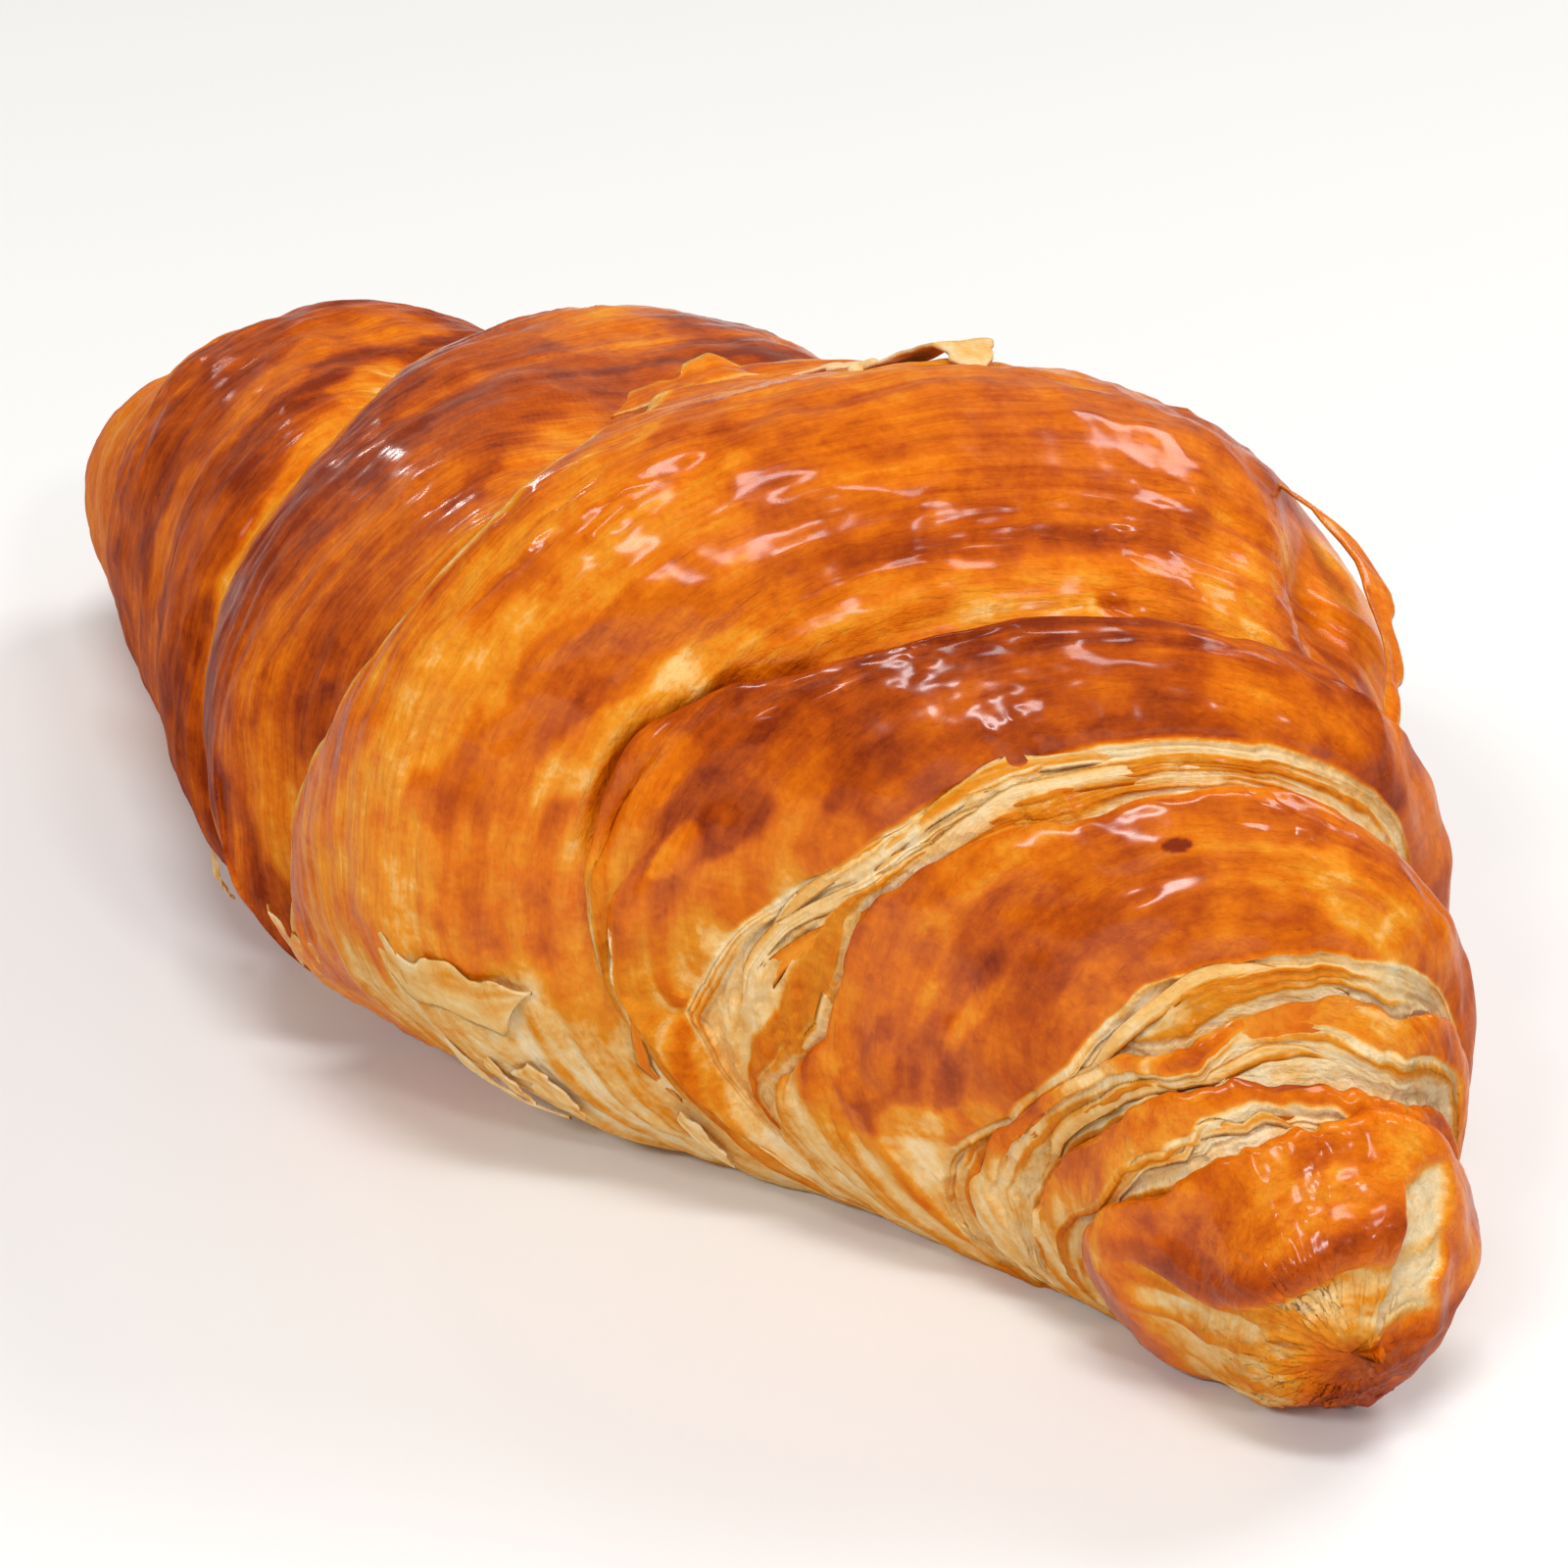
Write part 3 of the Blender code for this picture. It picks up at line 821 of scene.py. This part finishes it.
D_SWELLS = (
    (0.34, 158, 0.07, 10, 0.9), (0.17, 160, 0.06, 9, -0.8), (0.52, 160, 0.07, 9, -0.5),
    (0.12, 150, 0.05, 8, 0.5), (0.2, 172, 0.07, 8, 0.6), (0.38, 174, 0.06, 8, -0.5),
    (0.6, 170, 0.1, 8, 0.4), (0.3, 132, 0.04, 6, -0.6),
)
E_PATCHES = (
    (0.38, 94, 0.15, 12, 0.58), (0.19, 127, 0.15, 8, 0.5), (0.2, 136, 0.15, 8, 0.48),
    (0.72, 104, 0.15, 10, 0.68), (0.68, 133, 0.15, 10, 0.76), (0.61, 154, 0.12, 8, 0.8),
    (0.65, 148, 0.12, 6, 0.82), (0.59, 170, 0.1, 6, 0.78), (0.69, 162, 0.05, 12, 0.5),
    (0.48, 166, 0.05, 11, 0.52), (0.24, 166, 0.15, 8, 0.55), (0.15, 178, 0.15, 8, 0.5),
    (0.43, 182, 0.12, 7, 0.54), (0.77, 192, 0.15, 7, 0.3), (0.94, 185, 0.15, 7, 0.38),
    (0.88, 118, 0.1, 8, 0.7), (0.66, 78, 0.2, 14, 0.46), (0.8, 62, 0.2, 16, 0.34),
    (0.76, 50, 0.25, 18, 0.46), (0.9, 56, 0.2, 8, 0.3), (0.87, 204, 0.3, 8, 0.22),
    (0.45, 103, 0.035, 2.6, 1.5),
)
E_SWELLS = (
    (0.6, 160, 0.08, 8, -0.4), (0.75, 120, 0.1, 12, 0.4), (0.4, 178, 0.1, 8, 0.4),
    (0.3, 150, 0.1, 12, 0.3),
)
CAP_PATCHES = (
    (0.12, 140, 0.2, 20, 0.66), (0.32, 80, 0.3, 14, 0.5), (0.4, 112, 0.3, 16, 0.46),
    (0.44, 172, 0.2, 10, 0.9), (0.22, 180, 0.3, 12, 0.45), (0.34, 178, 0.2, 8, 0.75),
    (0.5, 96, 0.15, 8, 0.45), (0.2, 100, 0.1, 10, 0.72),
)


def bake_skin(shell, base, patches=(), swells=(), crinkle=1.0):
    """Everyday crust: swellings, wrinkles and crinkled blisters, and an uneven bake."""
    look = shape()
    shell.swell(swells)
    blistered = smooth_blend(-0.1, 0.55, shell.lumps(11, 2, 3))
    folds = 1.0 - np.abs(shell.grain(0.34, 0.10, 2, 2)) * 2.2
    creases = 1.0 - np.abs(shell.grain(0.42, 0.2, 3, 5)) * 2.4
    shell.push(
        look.blister * (0.8 * shell.lumps(16, 2) + 0.5 * shell.lumps(5.5, 2))
        + look.wrinkle * (1.0 * shell.grain(0.55, 0.10, 2) + 0.45 * shell.lumps(3.0, 2))
        + look.crinkle * crinkle * (0.6 * blistered * creases + 0.4 * folds)
    )
    shell.bake = base + 0.17 * shell.grain(0.45, 0.04) + 0.09 * shell.lumps(7)
    shell.paint(patches)
    shell.bake = shell.bake + 0.09 * shell.grain(1.2, 0.06, 3, 7) + 0.10 * shell.lumps(2.6, 3, 9)
    shell.bake = shell.bake + 0.07 * blistered * (creases - 0.45)
    glazed = smooth_blend(0.3, 0.7, shell.bake) * smooth_blend(-0.5, 0.2, shell.lumps(8, 2, 15))
    shell.gloss = 0.5 + 0.5 * glazed


def dull_flank(shell):
    """Less glaze on the steep front side of the far wraps."""
    flank = smooth_blend(136, 165, shell.degrees) * (1 - smooth_blend(225, 245, shell.degrees))
    shell.dull(0.65 * flank)


def back_patches(shell, level, seed):
    """Uneven browning of the far side, in the same soft-edged patches."""
    far = smooth_blend(62, 40, shell.degrees) + smooth_blend(322, 342, shell.degrees)
    spots = smooth_blend(0.05, 0.32, shell.lumps(13, 3, seed) + 0.35 * shell.grain(0.25, 0.06, 3, seed))
    pale = smooth_blend(0.12, 0.4, shell.lumps(17, 3, seed + 1))
    shell.bake = shell.bake + far * (0.2 * spots - 0.2 * pale + (level - shell.bake) * 0.3)


def browned_under(shell, level=0.5):
    """The dull, evenly baked underside."""
    low = smooth_blend(212, 238, shell.degrees) * (1 - smooth_blend(320, 345, shell.degrees))
    shell.tint(low, level + 0.06 * shell.lumps(6))
    shell.dull(0.8 * low)


def pale_foot(shell, start, full, level=0.14, strength=1.0, seed=0, contrast=1.0):
    """Stretched, unglazed dough along the front foot, in fine layers round the body."""
    ragged = shell.degrees + 7.0 * shell.grain(0.35, 0.03, 3, 21 + seed)
    foot = smooth_blend(start, full, ragged) * (1 - smooth_blend(236, 256, shell.degrees)) * strength
    layers = shell.grain(1.5, 0.035, 3, 5 + seed)
    shell.push(shape().layer * 0.8 * foot * layers)
    shell.tint(foot, level + 0.24 * contrast * layers + 0.06 * shell.lumps(4))
    shell.dough = np.maximum(shell.dough, 0.85 * foot)
    shell.dull(0.75 * foot)


def pale_rim(shell, low, high, level=0.3, strength=0.8):
    """The thin unglazed edge of a lip."""
    rim = shell.between(low, high, 0.12) * strength
    shell.tint(rim, level + 0.1 * shell.grain(1.0, 0.2))
    shell.dough = np.maximum(shell.dough, rim)
    shell.dull(0.8 * rim)


def step_face(shell, low, high, fineness=3.0):
    """Pale cut face below a lip, with its layers standing out."""
    face = shell.between(low, high)
    broad, fine = shell.layers(fineness, 0.03), shell.layers(fineness * 3.2, 0.06, 2, 5)
    pores = np.clip(shell.lumps(1.5, 2, 12) - 0.35, 0.0, 1.0)
    shell.push(shape().layer * face * (broad + 0.5 * fine - 0.9 * pores))
    level = 0.07 + 0.34 * smooth_blend(0.1, 0.7, broad + 0.35 * fine) + 0.08 * shell.lumps(5)
    level = level + 0.1 * smooth_blend(160, 188, shell.degrees)
    shell.tint(face, level)
    shell.dough = np.maximum(shell.dough, face)
    shell.gloss = shell.gloss * (1 - face) + 0.3 * face


def far_nub():
    """The rounded far end, dull and golden."""
    shell = Shell("far_nub", ("tip", "a_lip"), NUB_PROFILE, 60, 360, 3)
    shell.push(0.5 * shell.lumps(14, 2) + 0.25 * shell.grain(0.5, 0.05) + 0.08 * shell.lumps(2.0, 2))
    shell.bake = 0.60 + 0.10 * shell.lumps(9) + 0.10 * shell.grain(0.7, 0.05)
    rim = smooth_blend(0.86, 0.95, shell.u)
    shell.tint(rim, 0.3)
    shell.dough = 0.6 * rim
    shell.gloss = np.full_like(shell.bake, 0.35)
    return shell


def wrap_a():
    """First full wrap from the far end, with the pale stretched dough at the foot of the next one."""
    shell = Shell("wrap_a", ("a_lip", "b_foot"), WRAP_A_PROFILE, 110, 440, 11)
    # Dark base bake: deep browning of the far wrap, partly painted shade on the far wraps.
    bake_skin(shell, 0.92, A_PATCHES, (), 0.6)
    back_patches(shell, 0.8, 61)
    dull_flank(shell)
    strip = smooth_blend(0.97, 1.06, shell.u + 0.03 * shell.grain(0.6, 0.1))
    shell.tint(strip, 0.26 + 0.12 * shell.grain(1.0, 0.05))
    shell.dough = 0.7 * strip
    shell.dull(0.7 * strip)
    browned_under(shell)
    pale_rim(shell, 1.5, 4.06, 0.34, 0.8)
    return shell


def wrap_b():
    shell = Shell("wrap_b", ("b_lip", "c_lip"), WRAP_B_PROFILE, 130, 520, 23)
    # Dark base bake: deep browning of the far wrap, partly painted shade on the far wraps.
    bake_skin(shell, 0.86, B_PATCHES, (), 0.8)
    back_patches(shell, 0.72, 63)
    dull_flank(shell)
    browned_under(shell)
    pale_rim(shell, 1.5, 4.06, 0.34, 0.8)
    return shell


def wrap_c():
    """The broad middle wrap, stretched and layered at its front foot and streaked along its near valley."""
    shell = Shell("wrap_c", ("c_lip", "d_ridge"), WRAP_C_PROFILE, 158, shape().columns, 37)
    bake_skin(shell, 0.54, C_PATCHES, C_SWELLS, 1.2)
    back_patches(shell, 0.62, 65)
    valley = smooth_blend(0.72, 0.9, shell.u)
    strands = shell.grain(1.1, 0.035, 3, 3)
    shell.push(0.25 * valley * strands)
    shell.bake = shell.bake + 0.06 * valley - 0.14 * valley * np.clip(strands, -0.8, 1.0)
    browned_under(shell, 0.45)
    pale_foot(shell, 184 + 12 * smooth_blend(0.6, 0.2, shell.u), 200, 0.15, smooth_blend(0.25, 0.5, shell.u))
    pale_rim(shell, 1.5, 4.12, 0.22, 0.95)
    return shell


def wrap_d():
    """The dark ridge, with the tall pale step below it that fans out at the front."""
    shell = Shell("wrap_d", ("d_ridge", "d_lip"), WRAP_D_PROFILE, 140, 560, 41)
    bake_skin(shell, 0.80, D_PATCHES, D_SWELLS, 1.0)
    back_patches(shell, 0.76, 67)
    browned_under(shell, 0.45)
    pale_foot(shell, 158, 178, 0.27, 1.0, 2, 1.35)
    step_face(shell, 8.0, 12.0)
    return shell


def wrap_e():
    shell = Shell("wrap_e", ("e_start", "e_lip"), WRAP_E_PROFILE, 120, 480, 53)
    bake_skin(shell, 0.62, E_PATCHES, E_SWELLS, 1.0)
    back_patches(shell, 0.62, 69)
    browned_under(shell, 0.42)
    pale_foot(shell, 186, 206, 0.24, 0.9, 3)
    step_face(shell, 7.3, 11.0)
    return shell


def narrow_strip(shell, base, foot, face):
    """Crust of a strip near the cap, its foot as (start, full, level, seed), and its step from face on."""
    bake_skin(shell, base, crinkle=0.5)
    shell.bake = shell.bake + 0.2 * shell.lumps(6.0, 2, 8)
    browned_under(shell, 0.42)
    start, full, level, seed = foot
    pale_foot(shell, start, full, level, 0.9, seed)
    step_face(shell, face, 8.0)
    return shell


def strip_f():
    shell = Shell("strip_f", ("f_start", "f_lip"), STRIP_F_PROFILE, 70, 400, 61)
    return narrow_strip(shell, 0.5, (186, 202, 0.18, 4), 4.35)


def strip_g():
    shell = Shell("strip_g", ("f2_start", "f2_lip"), STRIP_G_PROFILE, 56, 380, 67)
    return narrow_strip(shell, 0.56, (190, 204, 0.2, 5), 4.3)


def near_cap():
    """The cap at the near end: an orange top with a dark rim, a pale wedge, a tan underside and a darker
    bottom that is partly painted shade.
    """
    shell = Shell("near_cap", ("g_ridge", "end"), NEAR_CAP_PROFILE, 90, 400, 71)
    bake_skin(shell, 0.6, CAP_PATCHES, (), 0.7)
    x, y, height = np.moveaxis(shell.point, -1, 0)
    turn = np.degrees(np.arctan2(y + 8.0, x - 72.0))
    below = np.interp(turn, (-102, -78, -49, -17, 0), (12.2, 11.8, 14.3, 16.5, 16.9))
    below = below - height + 0.5 * shell.lumps(3.0, 2)
    inside = smooth_blend(-130, -105, turn) * (1 - smooth_blend(0, 12, turn))
    rim = np.exp(-(((below + 1.3) / 1.2) ** 2)) * inside
    shell.bake = shell.bake * (1 - 0.85 * rim) + 0.85 * 0.92 * rim
    tan = smooth_blend(-0.2, 0.7, below) * inside
    grain = layered_noise(x / 4.0, y / 4.0, height / 0.9, 3, 171)
    middle = np.interp(height, (13.5, 15.0, 17.7, 20.0), (-2.0, 8.0, 13.0, 20.0))
    aside = np.abs(turn - middle) * 0.18 + 0.5 * shell.lumps(3.5, 2, 6)
    wedge = smooth_blend(2.6, 1.7, aside) * smooth_blend(20.8, 19.6, height) * smooth_blend(9.0, 12.0, height)
    flap = smooth_blend(22, 32, turn) * smooth_blend(75, 55, turn) * smooth_blend(9.0, 12.0, height)
    shell.push(0.45 * rim - 0.7 * tan + 0.25 * tan * grain - 0.7 * wedge + 0.15 * wedge * grain + 0.7 * flap)
    shell.tint(tan, 0.30 + 0.20 * grain)
    shell.tint(wedge, 0.08 + 0.14 * grain)
    # Darker towards the bottom where the cap meets the floor: deeper browning, partly painted shade.
    browned_and_shaded_bottom = smooth_blend(12.4, 9.6, height) * smooth_blend(-48, -20, turn)
    shell.tint(browned_and_shaded_bottom, 0.86 + 0.15 * grain)
    pale = np.maximum(tan * 0.8, wedge) * (1 - browned_and_shaded_bottom)
    shell.dough = pale
    shell.dull(0.75 * pale)
    shell.dull(0.6 * browned_and_shaded_bottom)
    return shell


# Torn sheets: name, bake in the middle and at the edges, and two edges of (place, degrees, depth in mm).
TORN_SHEETS = (
    ("back_flake", (0.55, 0.42),
     ((117.3, 48, 0.8), (119.5, 42, -0.5), (122.5, 39, -0.9), (126, 37.5, -0.7),
      (129.5, 36.5, 0.0), (132, 36, 1.4)),
     ((118.0, 44, 0.3), (121, 37, -1.3), (124, 33.5, -1.7), (127, 31.5, -1.5),
      (130, 30.5, -0.4), (133, 30, 1.4))),
    ("crest_corner", (0.5, 0.25),
     ((87.6, 100, 0.9), (86.8, 93, -0.5), (86.9, 88, -1.4), (88.2, 82, 0.6)),
     ((91, 100, 0.5), (91.5, 94, -0.1), (91.8, 88, -0.3), (91.5, 82, 0.5))),
    ("crest_layer", (0.12, 0.1),
     ((91.5, 87, 0.3), (93.5, 84, -0.5), (95.5, 82, -0.7), (97.5, 81, 0.2)),
     ((92.5, 83, 0.3), (94.5, 80, -1.2), (96.5, 78.5, -1.3), (98.5, 78, 0.3))),
    ("crest_sheet", (0.16, 0.1),
     ((100, 86, 0.4), (103, 84, -1.1), (106.5, 83, -1.5), (110.5, 82, 0.2)),
     ((101, 80, 0.3), (104, 77, -2.0), (108, 76, -2.1), (112, 76, 0.2))),
    ("front_skin", (0.22, 0.13),
     ((114, 183, 0.3), (116, 187, -0.1), (119, 188, -0.2), (122, 189, -0.2), (125, 187, 0.4)),
     ((114, 189, 0.5), (116, 196, -0.4), (119, 197, -0.5), (122.5, 200, -0.5), (125.5, 194, 0.4))),
    ("foot_skin", (0.38, 0.18),
     ((90, 186, 0.3), (93, 190, -0.5), (97, 192, -0.5), (101, 190, 0.3)),
     ((90, 196, 0.3), (93.5, 201, -0.6), (97.5, 202, -0.6), (101, 198, 0.3))),
    ("spike_long", (0.08, 0.05),
     ((115.2, 206, 0.2), (115.4, 214, -0.8), (115.9, 222, -1.5), (116.3, 229, -1.2)),
     ((117.0, 206, 0.2), (116.9, 214, -0.8), (116.7, 222, -1.5), (116.5, 229, -1.2))),
    ("spike_short", (0.2, 0.1),
     ((118.2, 208, 0.2), (118.3, 214, -0.8), (118.5, 220, -1.6)),
     ((119.4, 208, 0.2), (119.3, 214, -0.8), (119.0, 220, -1.6))),
    ("spike_wide", (0.2, 0.1),
     ((120.4, 208, 0.2), (120.3, 215, -0.8), (120.6, 222, -1.3)),
     ((123.4, 208, 0.2), (123.2, 215, -0.8), (122.4, 222, -1.3))),
    ("spike_near", (0.15, 0.1),
     ((129.0, 212, 0.2), (128.6, 220, -0.8), (128.2, 228, -1.6)),
     ((130.2, 212, 0.2), (129.9, 220, -0.8), (129.0, 228, -1.6))),
    ("far_crumb", (0.2, 0.15),
     ((67.5, 196, 0.2), (68.3, 202, -0.9), (69.2, 208, -1.2)),
     ((70.6, 196, 0.2), (70.5, 202, -0.9), (69.8, 208, -1.2))),
)

# Raised layers on the steps: name, edge, offset and width in mm, depth, first and last angle, bake levels.
LAYER_RIBBONS = (
    ("step_layer_a", "d_lip", 0.5, 0.45, 1.7, 88, 176, (0.3, 0.12)),
    ("step_layer_b", "d_lip", 1.5, 0.5, 2.3, 70, 196, (0.12, 0.3)),
    ("step_layer_c", "d_lip", 2.6, 0.5, 2.6, 100, 206, (0.42, 0.5)),
    ("step_layer_d", "e_start", -1.6, 0.6, 2.6, 118, 208, (0.2, 0.42)),
    ("fan_layer_a", "d_lip", -1.4, 0.6, 0.5, 150, 212, (0.5, 0.3)),
    ("fan_layer_b", "d_ridge", 1.6, 0.6, 0.6, 158, 214, (0.3, 0.15)),
    ("fan_layer_c", "e_start", 1.6, 0.6, 0.4, 160, 210, (0.45, 0.3)),
    ("low_layer_a", "e_lip", 0.5, 0.4, 1.7, 70, 190, (0.15, 0.3)),
    ("low_layer_b", "f_lip", 0.5, 0.4, 1.9, 70, 196, (0.15, 0.3)),
    ("low_layer_c", "f2_lip", 0.3, 0.35, 1.9, 90, 200, (0.3, 0.15)),
)


def finish_shell(shell, finish):
    piece = shell.piece(pastry(finish))
    if not any("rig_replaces" in other for other in bpy.data.objects):
        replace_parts(piece, BODY_NODE)
    return piece


class CROISSANT_OT_far_end(Operator):
    """Shape the rounded nub at the far end"""

    bl_idname = "croissant.far_end"
    bl_label = "Far End"

    def execute(self, context):
        finish_shell(far_nub(), "far_crust")
        return {"FINISHED"}


class CROISSANT_OT_far_wraps(Operator):
    """Shape the two wraps between the far end and the middle"""

    bl_idname = "croissant.far_wraps"
    bl_label = "Far Wraps"

    def execute(self, context):
        finish_shell(wrap_a(), "far_crust")
        finish_shell(wrap_b(), "glazed_crust")
        return {"FINISHED"}


class CROISSANT_OT_middle_wrap(Operator):
    """Shape the broad wrap over the middle"""

    bl_idname = "croissant.middle_wrap"
    bl_label = "Middle Wrap"

    def execute(self, context):
        finish_shell(wrap_c(), "glazed_crust")
        return {"FINISHED"}


class CROISSANT_OT_near_wraps(Operator):
    """Shape the stepped wraps that run down to the near end"""

    bl_idname = "croissant.near_wraps"
    bl_label = "Near Wraps"

    def execute(self, context):
        for make in (wrap_d, wrap_e, strip_f, strip_g):
            finish_shell(make(), "glazed_crust")
        return {"FINISHED"}


class CROISSANT_OT_near_end(Operator):
    """Shape the cap at the near end"""

    bl_idname = "croissant.near_end"
    bl_label = "Near End"

    def execute(self, context):
        finish_shell(near_cap(), "glazed_crust")
        return {"FINISHED"}


class CROISSANT_OT_torn_layers(Operator):
    """Add the lifted flakes, the torn skins and the fine layers on the steps"""

    bl_idname = "croissant.torn_layers"
    bl_label = "Torn Layers"

    def execute(self, context):
        for number, (name, levels, first, second) in enumerate(TORN_SHEETS):
            finish = pastry("torn_dough" if levels[0] < PALE_BELOW else "glazed_crust")
            thin_sheet(name, first, second, finish, levels, SHEET_THICKNESS, SHEET_CELLS, SHEET_SEED + number)
        for number, (name, edge, offset, width, depth, start, end, levels) in enumerate(LAYER_RIBBONS):
            ribbon(name, edge, offset, width, depth, start, end, levels, RIBBON_SEED + number)
        return {"FINISHED"}


# ---------------------------------------------------------------------------
# Stage
# ---------------------------------------------------------------------------

CAMERA_AT = (176.80, -152.91, 146.12)
CAMERA_LOOK = (-0.63078, 0.60069, -0.49121)


def soft_light(name, azimuth, elevation, distance, size, power, colour=(1.0, 1.0, 1.0)):
    """Square light that faces the croissant from a direction given in degrees."""
    lamp = bpy.data.lights.new(name, "AREA")
    lamp.shape = "RECTANGLE"
    lamp.size, lamp.size_y = size
    lamp.energy = power
    lamp.color = colour
    holder = bpy.data.objects.new(name, lamp)
    a, e = math.radians(azimuth), math.radians(elevation)
    away = Vector((math.cos(a) * math.cos(e), math.sin(a) * math.cos(e), math.sin(e)))
    holder.location = Vector((0.0, 0.0, 0.025)) + away * distance
    holder.rotation_mode = "QUATERNION"
    holder.rotation_quaternion = away.to_track_quat("Z", "Y")
    bpy.context.scene.collection.objects.link(holder)
    return holder


def floor_mesh():
    body = bmesh.new()
    bmesh.ops.create_grid(body, x_segments=1, y_segments=1, size=3.0)
    mesh = bpy.data.meshes.new("floor")
    body.to_mesh(mesh)
    body.free()
    return mesh


def floor_material(colour):
    material = bpy.data.materials.new("pale_floor")
    material.use_nodes = True
    tree = material.node_tree
    shader = tree.nodes["Principled BSDF"]
    place = add_node(tree, "ShaderNodeTexCoord").outputs["Object"]
    cloud = noise_texture(tree, place, 6.0, 2.0, 0.5)
    paler = tuple(min(1.0, c * 1.02) for c in colour)
    mixed = add_node(tree, "ShaderNodeMix", data_type="RGBA")
    tree.links.new(cloud, mixed.inputs[0])
    mixed.inputs[6].default_value = (*colour, 1.0)
    mixed.inputs[7].default_value = (*paler, 1.0)
    tree.links.new(mixed.outputs[2], shader.inputs["Base Color"])
    shader.inputs["Roughness"].default_value = 0.6
    return material


class CROISSANT_OT_stage(Operator):
    """Set the floor, the soft lights and the camera"""

    bl_idname = "croissant.stage"
    bl_label = "Stage"

    def execute(self, context):
        scene, look = context.scene, stage_settings()
        floor = bpy.data.objects.new("floor", floor_mesh())
        floor.data.materials.append(floor_material(look.floor))
        scene.collection.objects.link(floor)
        soft_light("key_light", 84, 44, 1.2, (0.5, 0.34), look.key_power)
        soft_light("top_light", -40, 74, 1.1, (0.42, 0.2), look.top_power)
        soft_light("side_light", 168, 21, 0.8, (0.06, 0.04), look.side_power)
        soft_light("front_light_left", -74, 42, 1.1, (0.28, 0.11), look.front_power)
        soft_light("front_light_right", -14, 37, 1.1, (0.12, 0.12), look.front_power * 0.55)
        world = bpy.data.worlds.new("studio")
        world.use_nodes = True
        backdrop = world.node_tree.nodes["Background"]
        backdrop.inputs["Color"].default_value = (1.0, 0.95, 0.87, 1.0)
        backdrop.inputs["Strength"].default_value = look.room
        scene.world = world
        scene.view_settings.view_transform = "Standard"
        lens = bpy.data.cameras.new("camera")
        lens.lens = 75.0
        lens.sensor_width = 36.0
        lens.clip_start, lens.clip_end = 0.01, 20.0
        camera = bpy.data.objects.new("camera", lens)
        camera.location = Vector(CAMERA_AT) * MM
        camera.rotation_mode = "QUATERNION"
        camera.rotation_quaternion = Vector(CAMERA_LOOK).to_track_quat("-Z", "Y")
        scene.collection.objects.link(camera)
        scene.camera = camera
        return {"FINISHED"}


class CROISSANT_PT_panel(Panel):
    """Sidebar panel that lists the croissant's settings and its makers"""

    bl_label = "Croissant"
    bl_idname = "CROISSANT_PT_panel"
    bl_space_type = "VIEW_3D"
    bl_region_type = "UI"
    bl_category = "Croissant"

    def draw(self, context):
        scene = context.scene
        for settings in (scene.croissant_shape, scene.croissant_colours, scene.croissant_stage):
            box = self.layout.box()
            for name in settings.__annotations__:
                box.prop(settings, name)
        for operator in OPERATORS:
            self.layout.operator(operator.bl_idname)


OPERATORS = (
    CROISSANT_OT_stage,
    CROISSANT_OT_far_end,
    CROISSANT_OT_far_wraps,
    CROISSANT_OT_middle_wrap,
    CROISSANT_OT_near_wraps,
    CROISSANT_OT_near_end,
    CROISSANT_OT_torn_layers,
)
SETTINGS = (
    ("croissant_shape", CroissantShape),
    ("croissant_colours", CroissantColours),
    ("croissant_stage", CroissantStage),
)


def register():
    for name, group in SETTINGS:
        bpy.utils.register_class(group)
        setattr(bpy.types.Scene, name, PointerProperty(type=group))
    for item in (*OPERATORS, CROISSANT_PT_panel):
        bpy.utils.register_class(item)


def unregister():
    for item in (CROISSANT_PT_panel, *reversed(OPERATORS)):
        bpy.utils.unregister_class(item)
    for name, group in reversed(SETTINGS):
        delattr(bpy.types.Scene, name)
        bpy.utils.unregister_class(group)


def main():
    register()
    for operator in OPERATORS:
        family, action = operator.bl_idname.split(".")
        getattr(getattr(bpy.ops, family), action)()


if __name__ == "__main__":
    main()
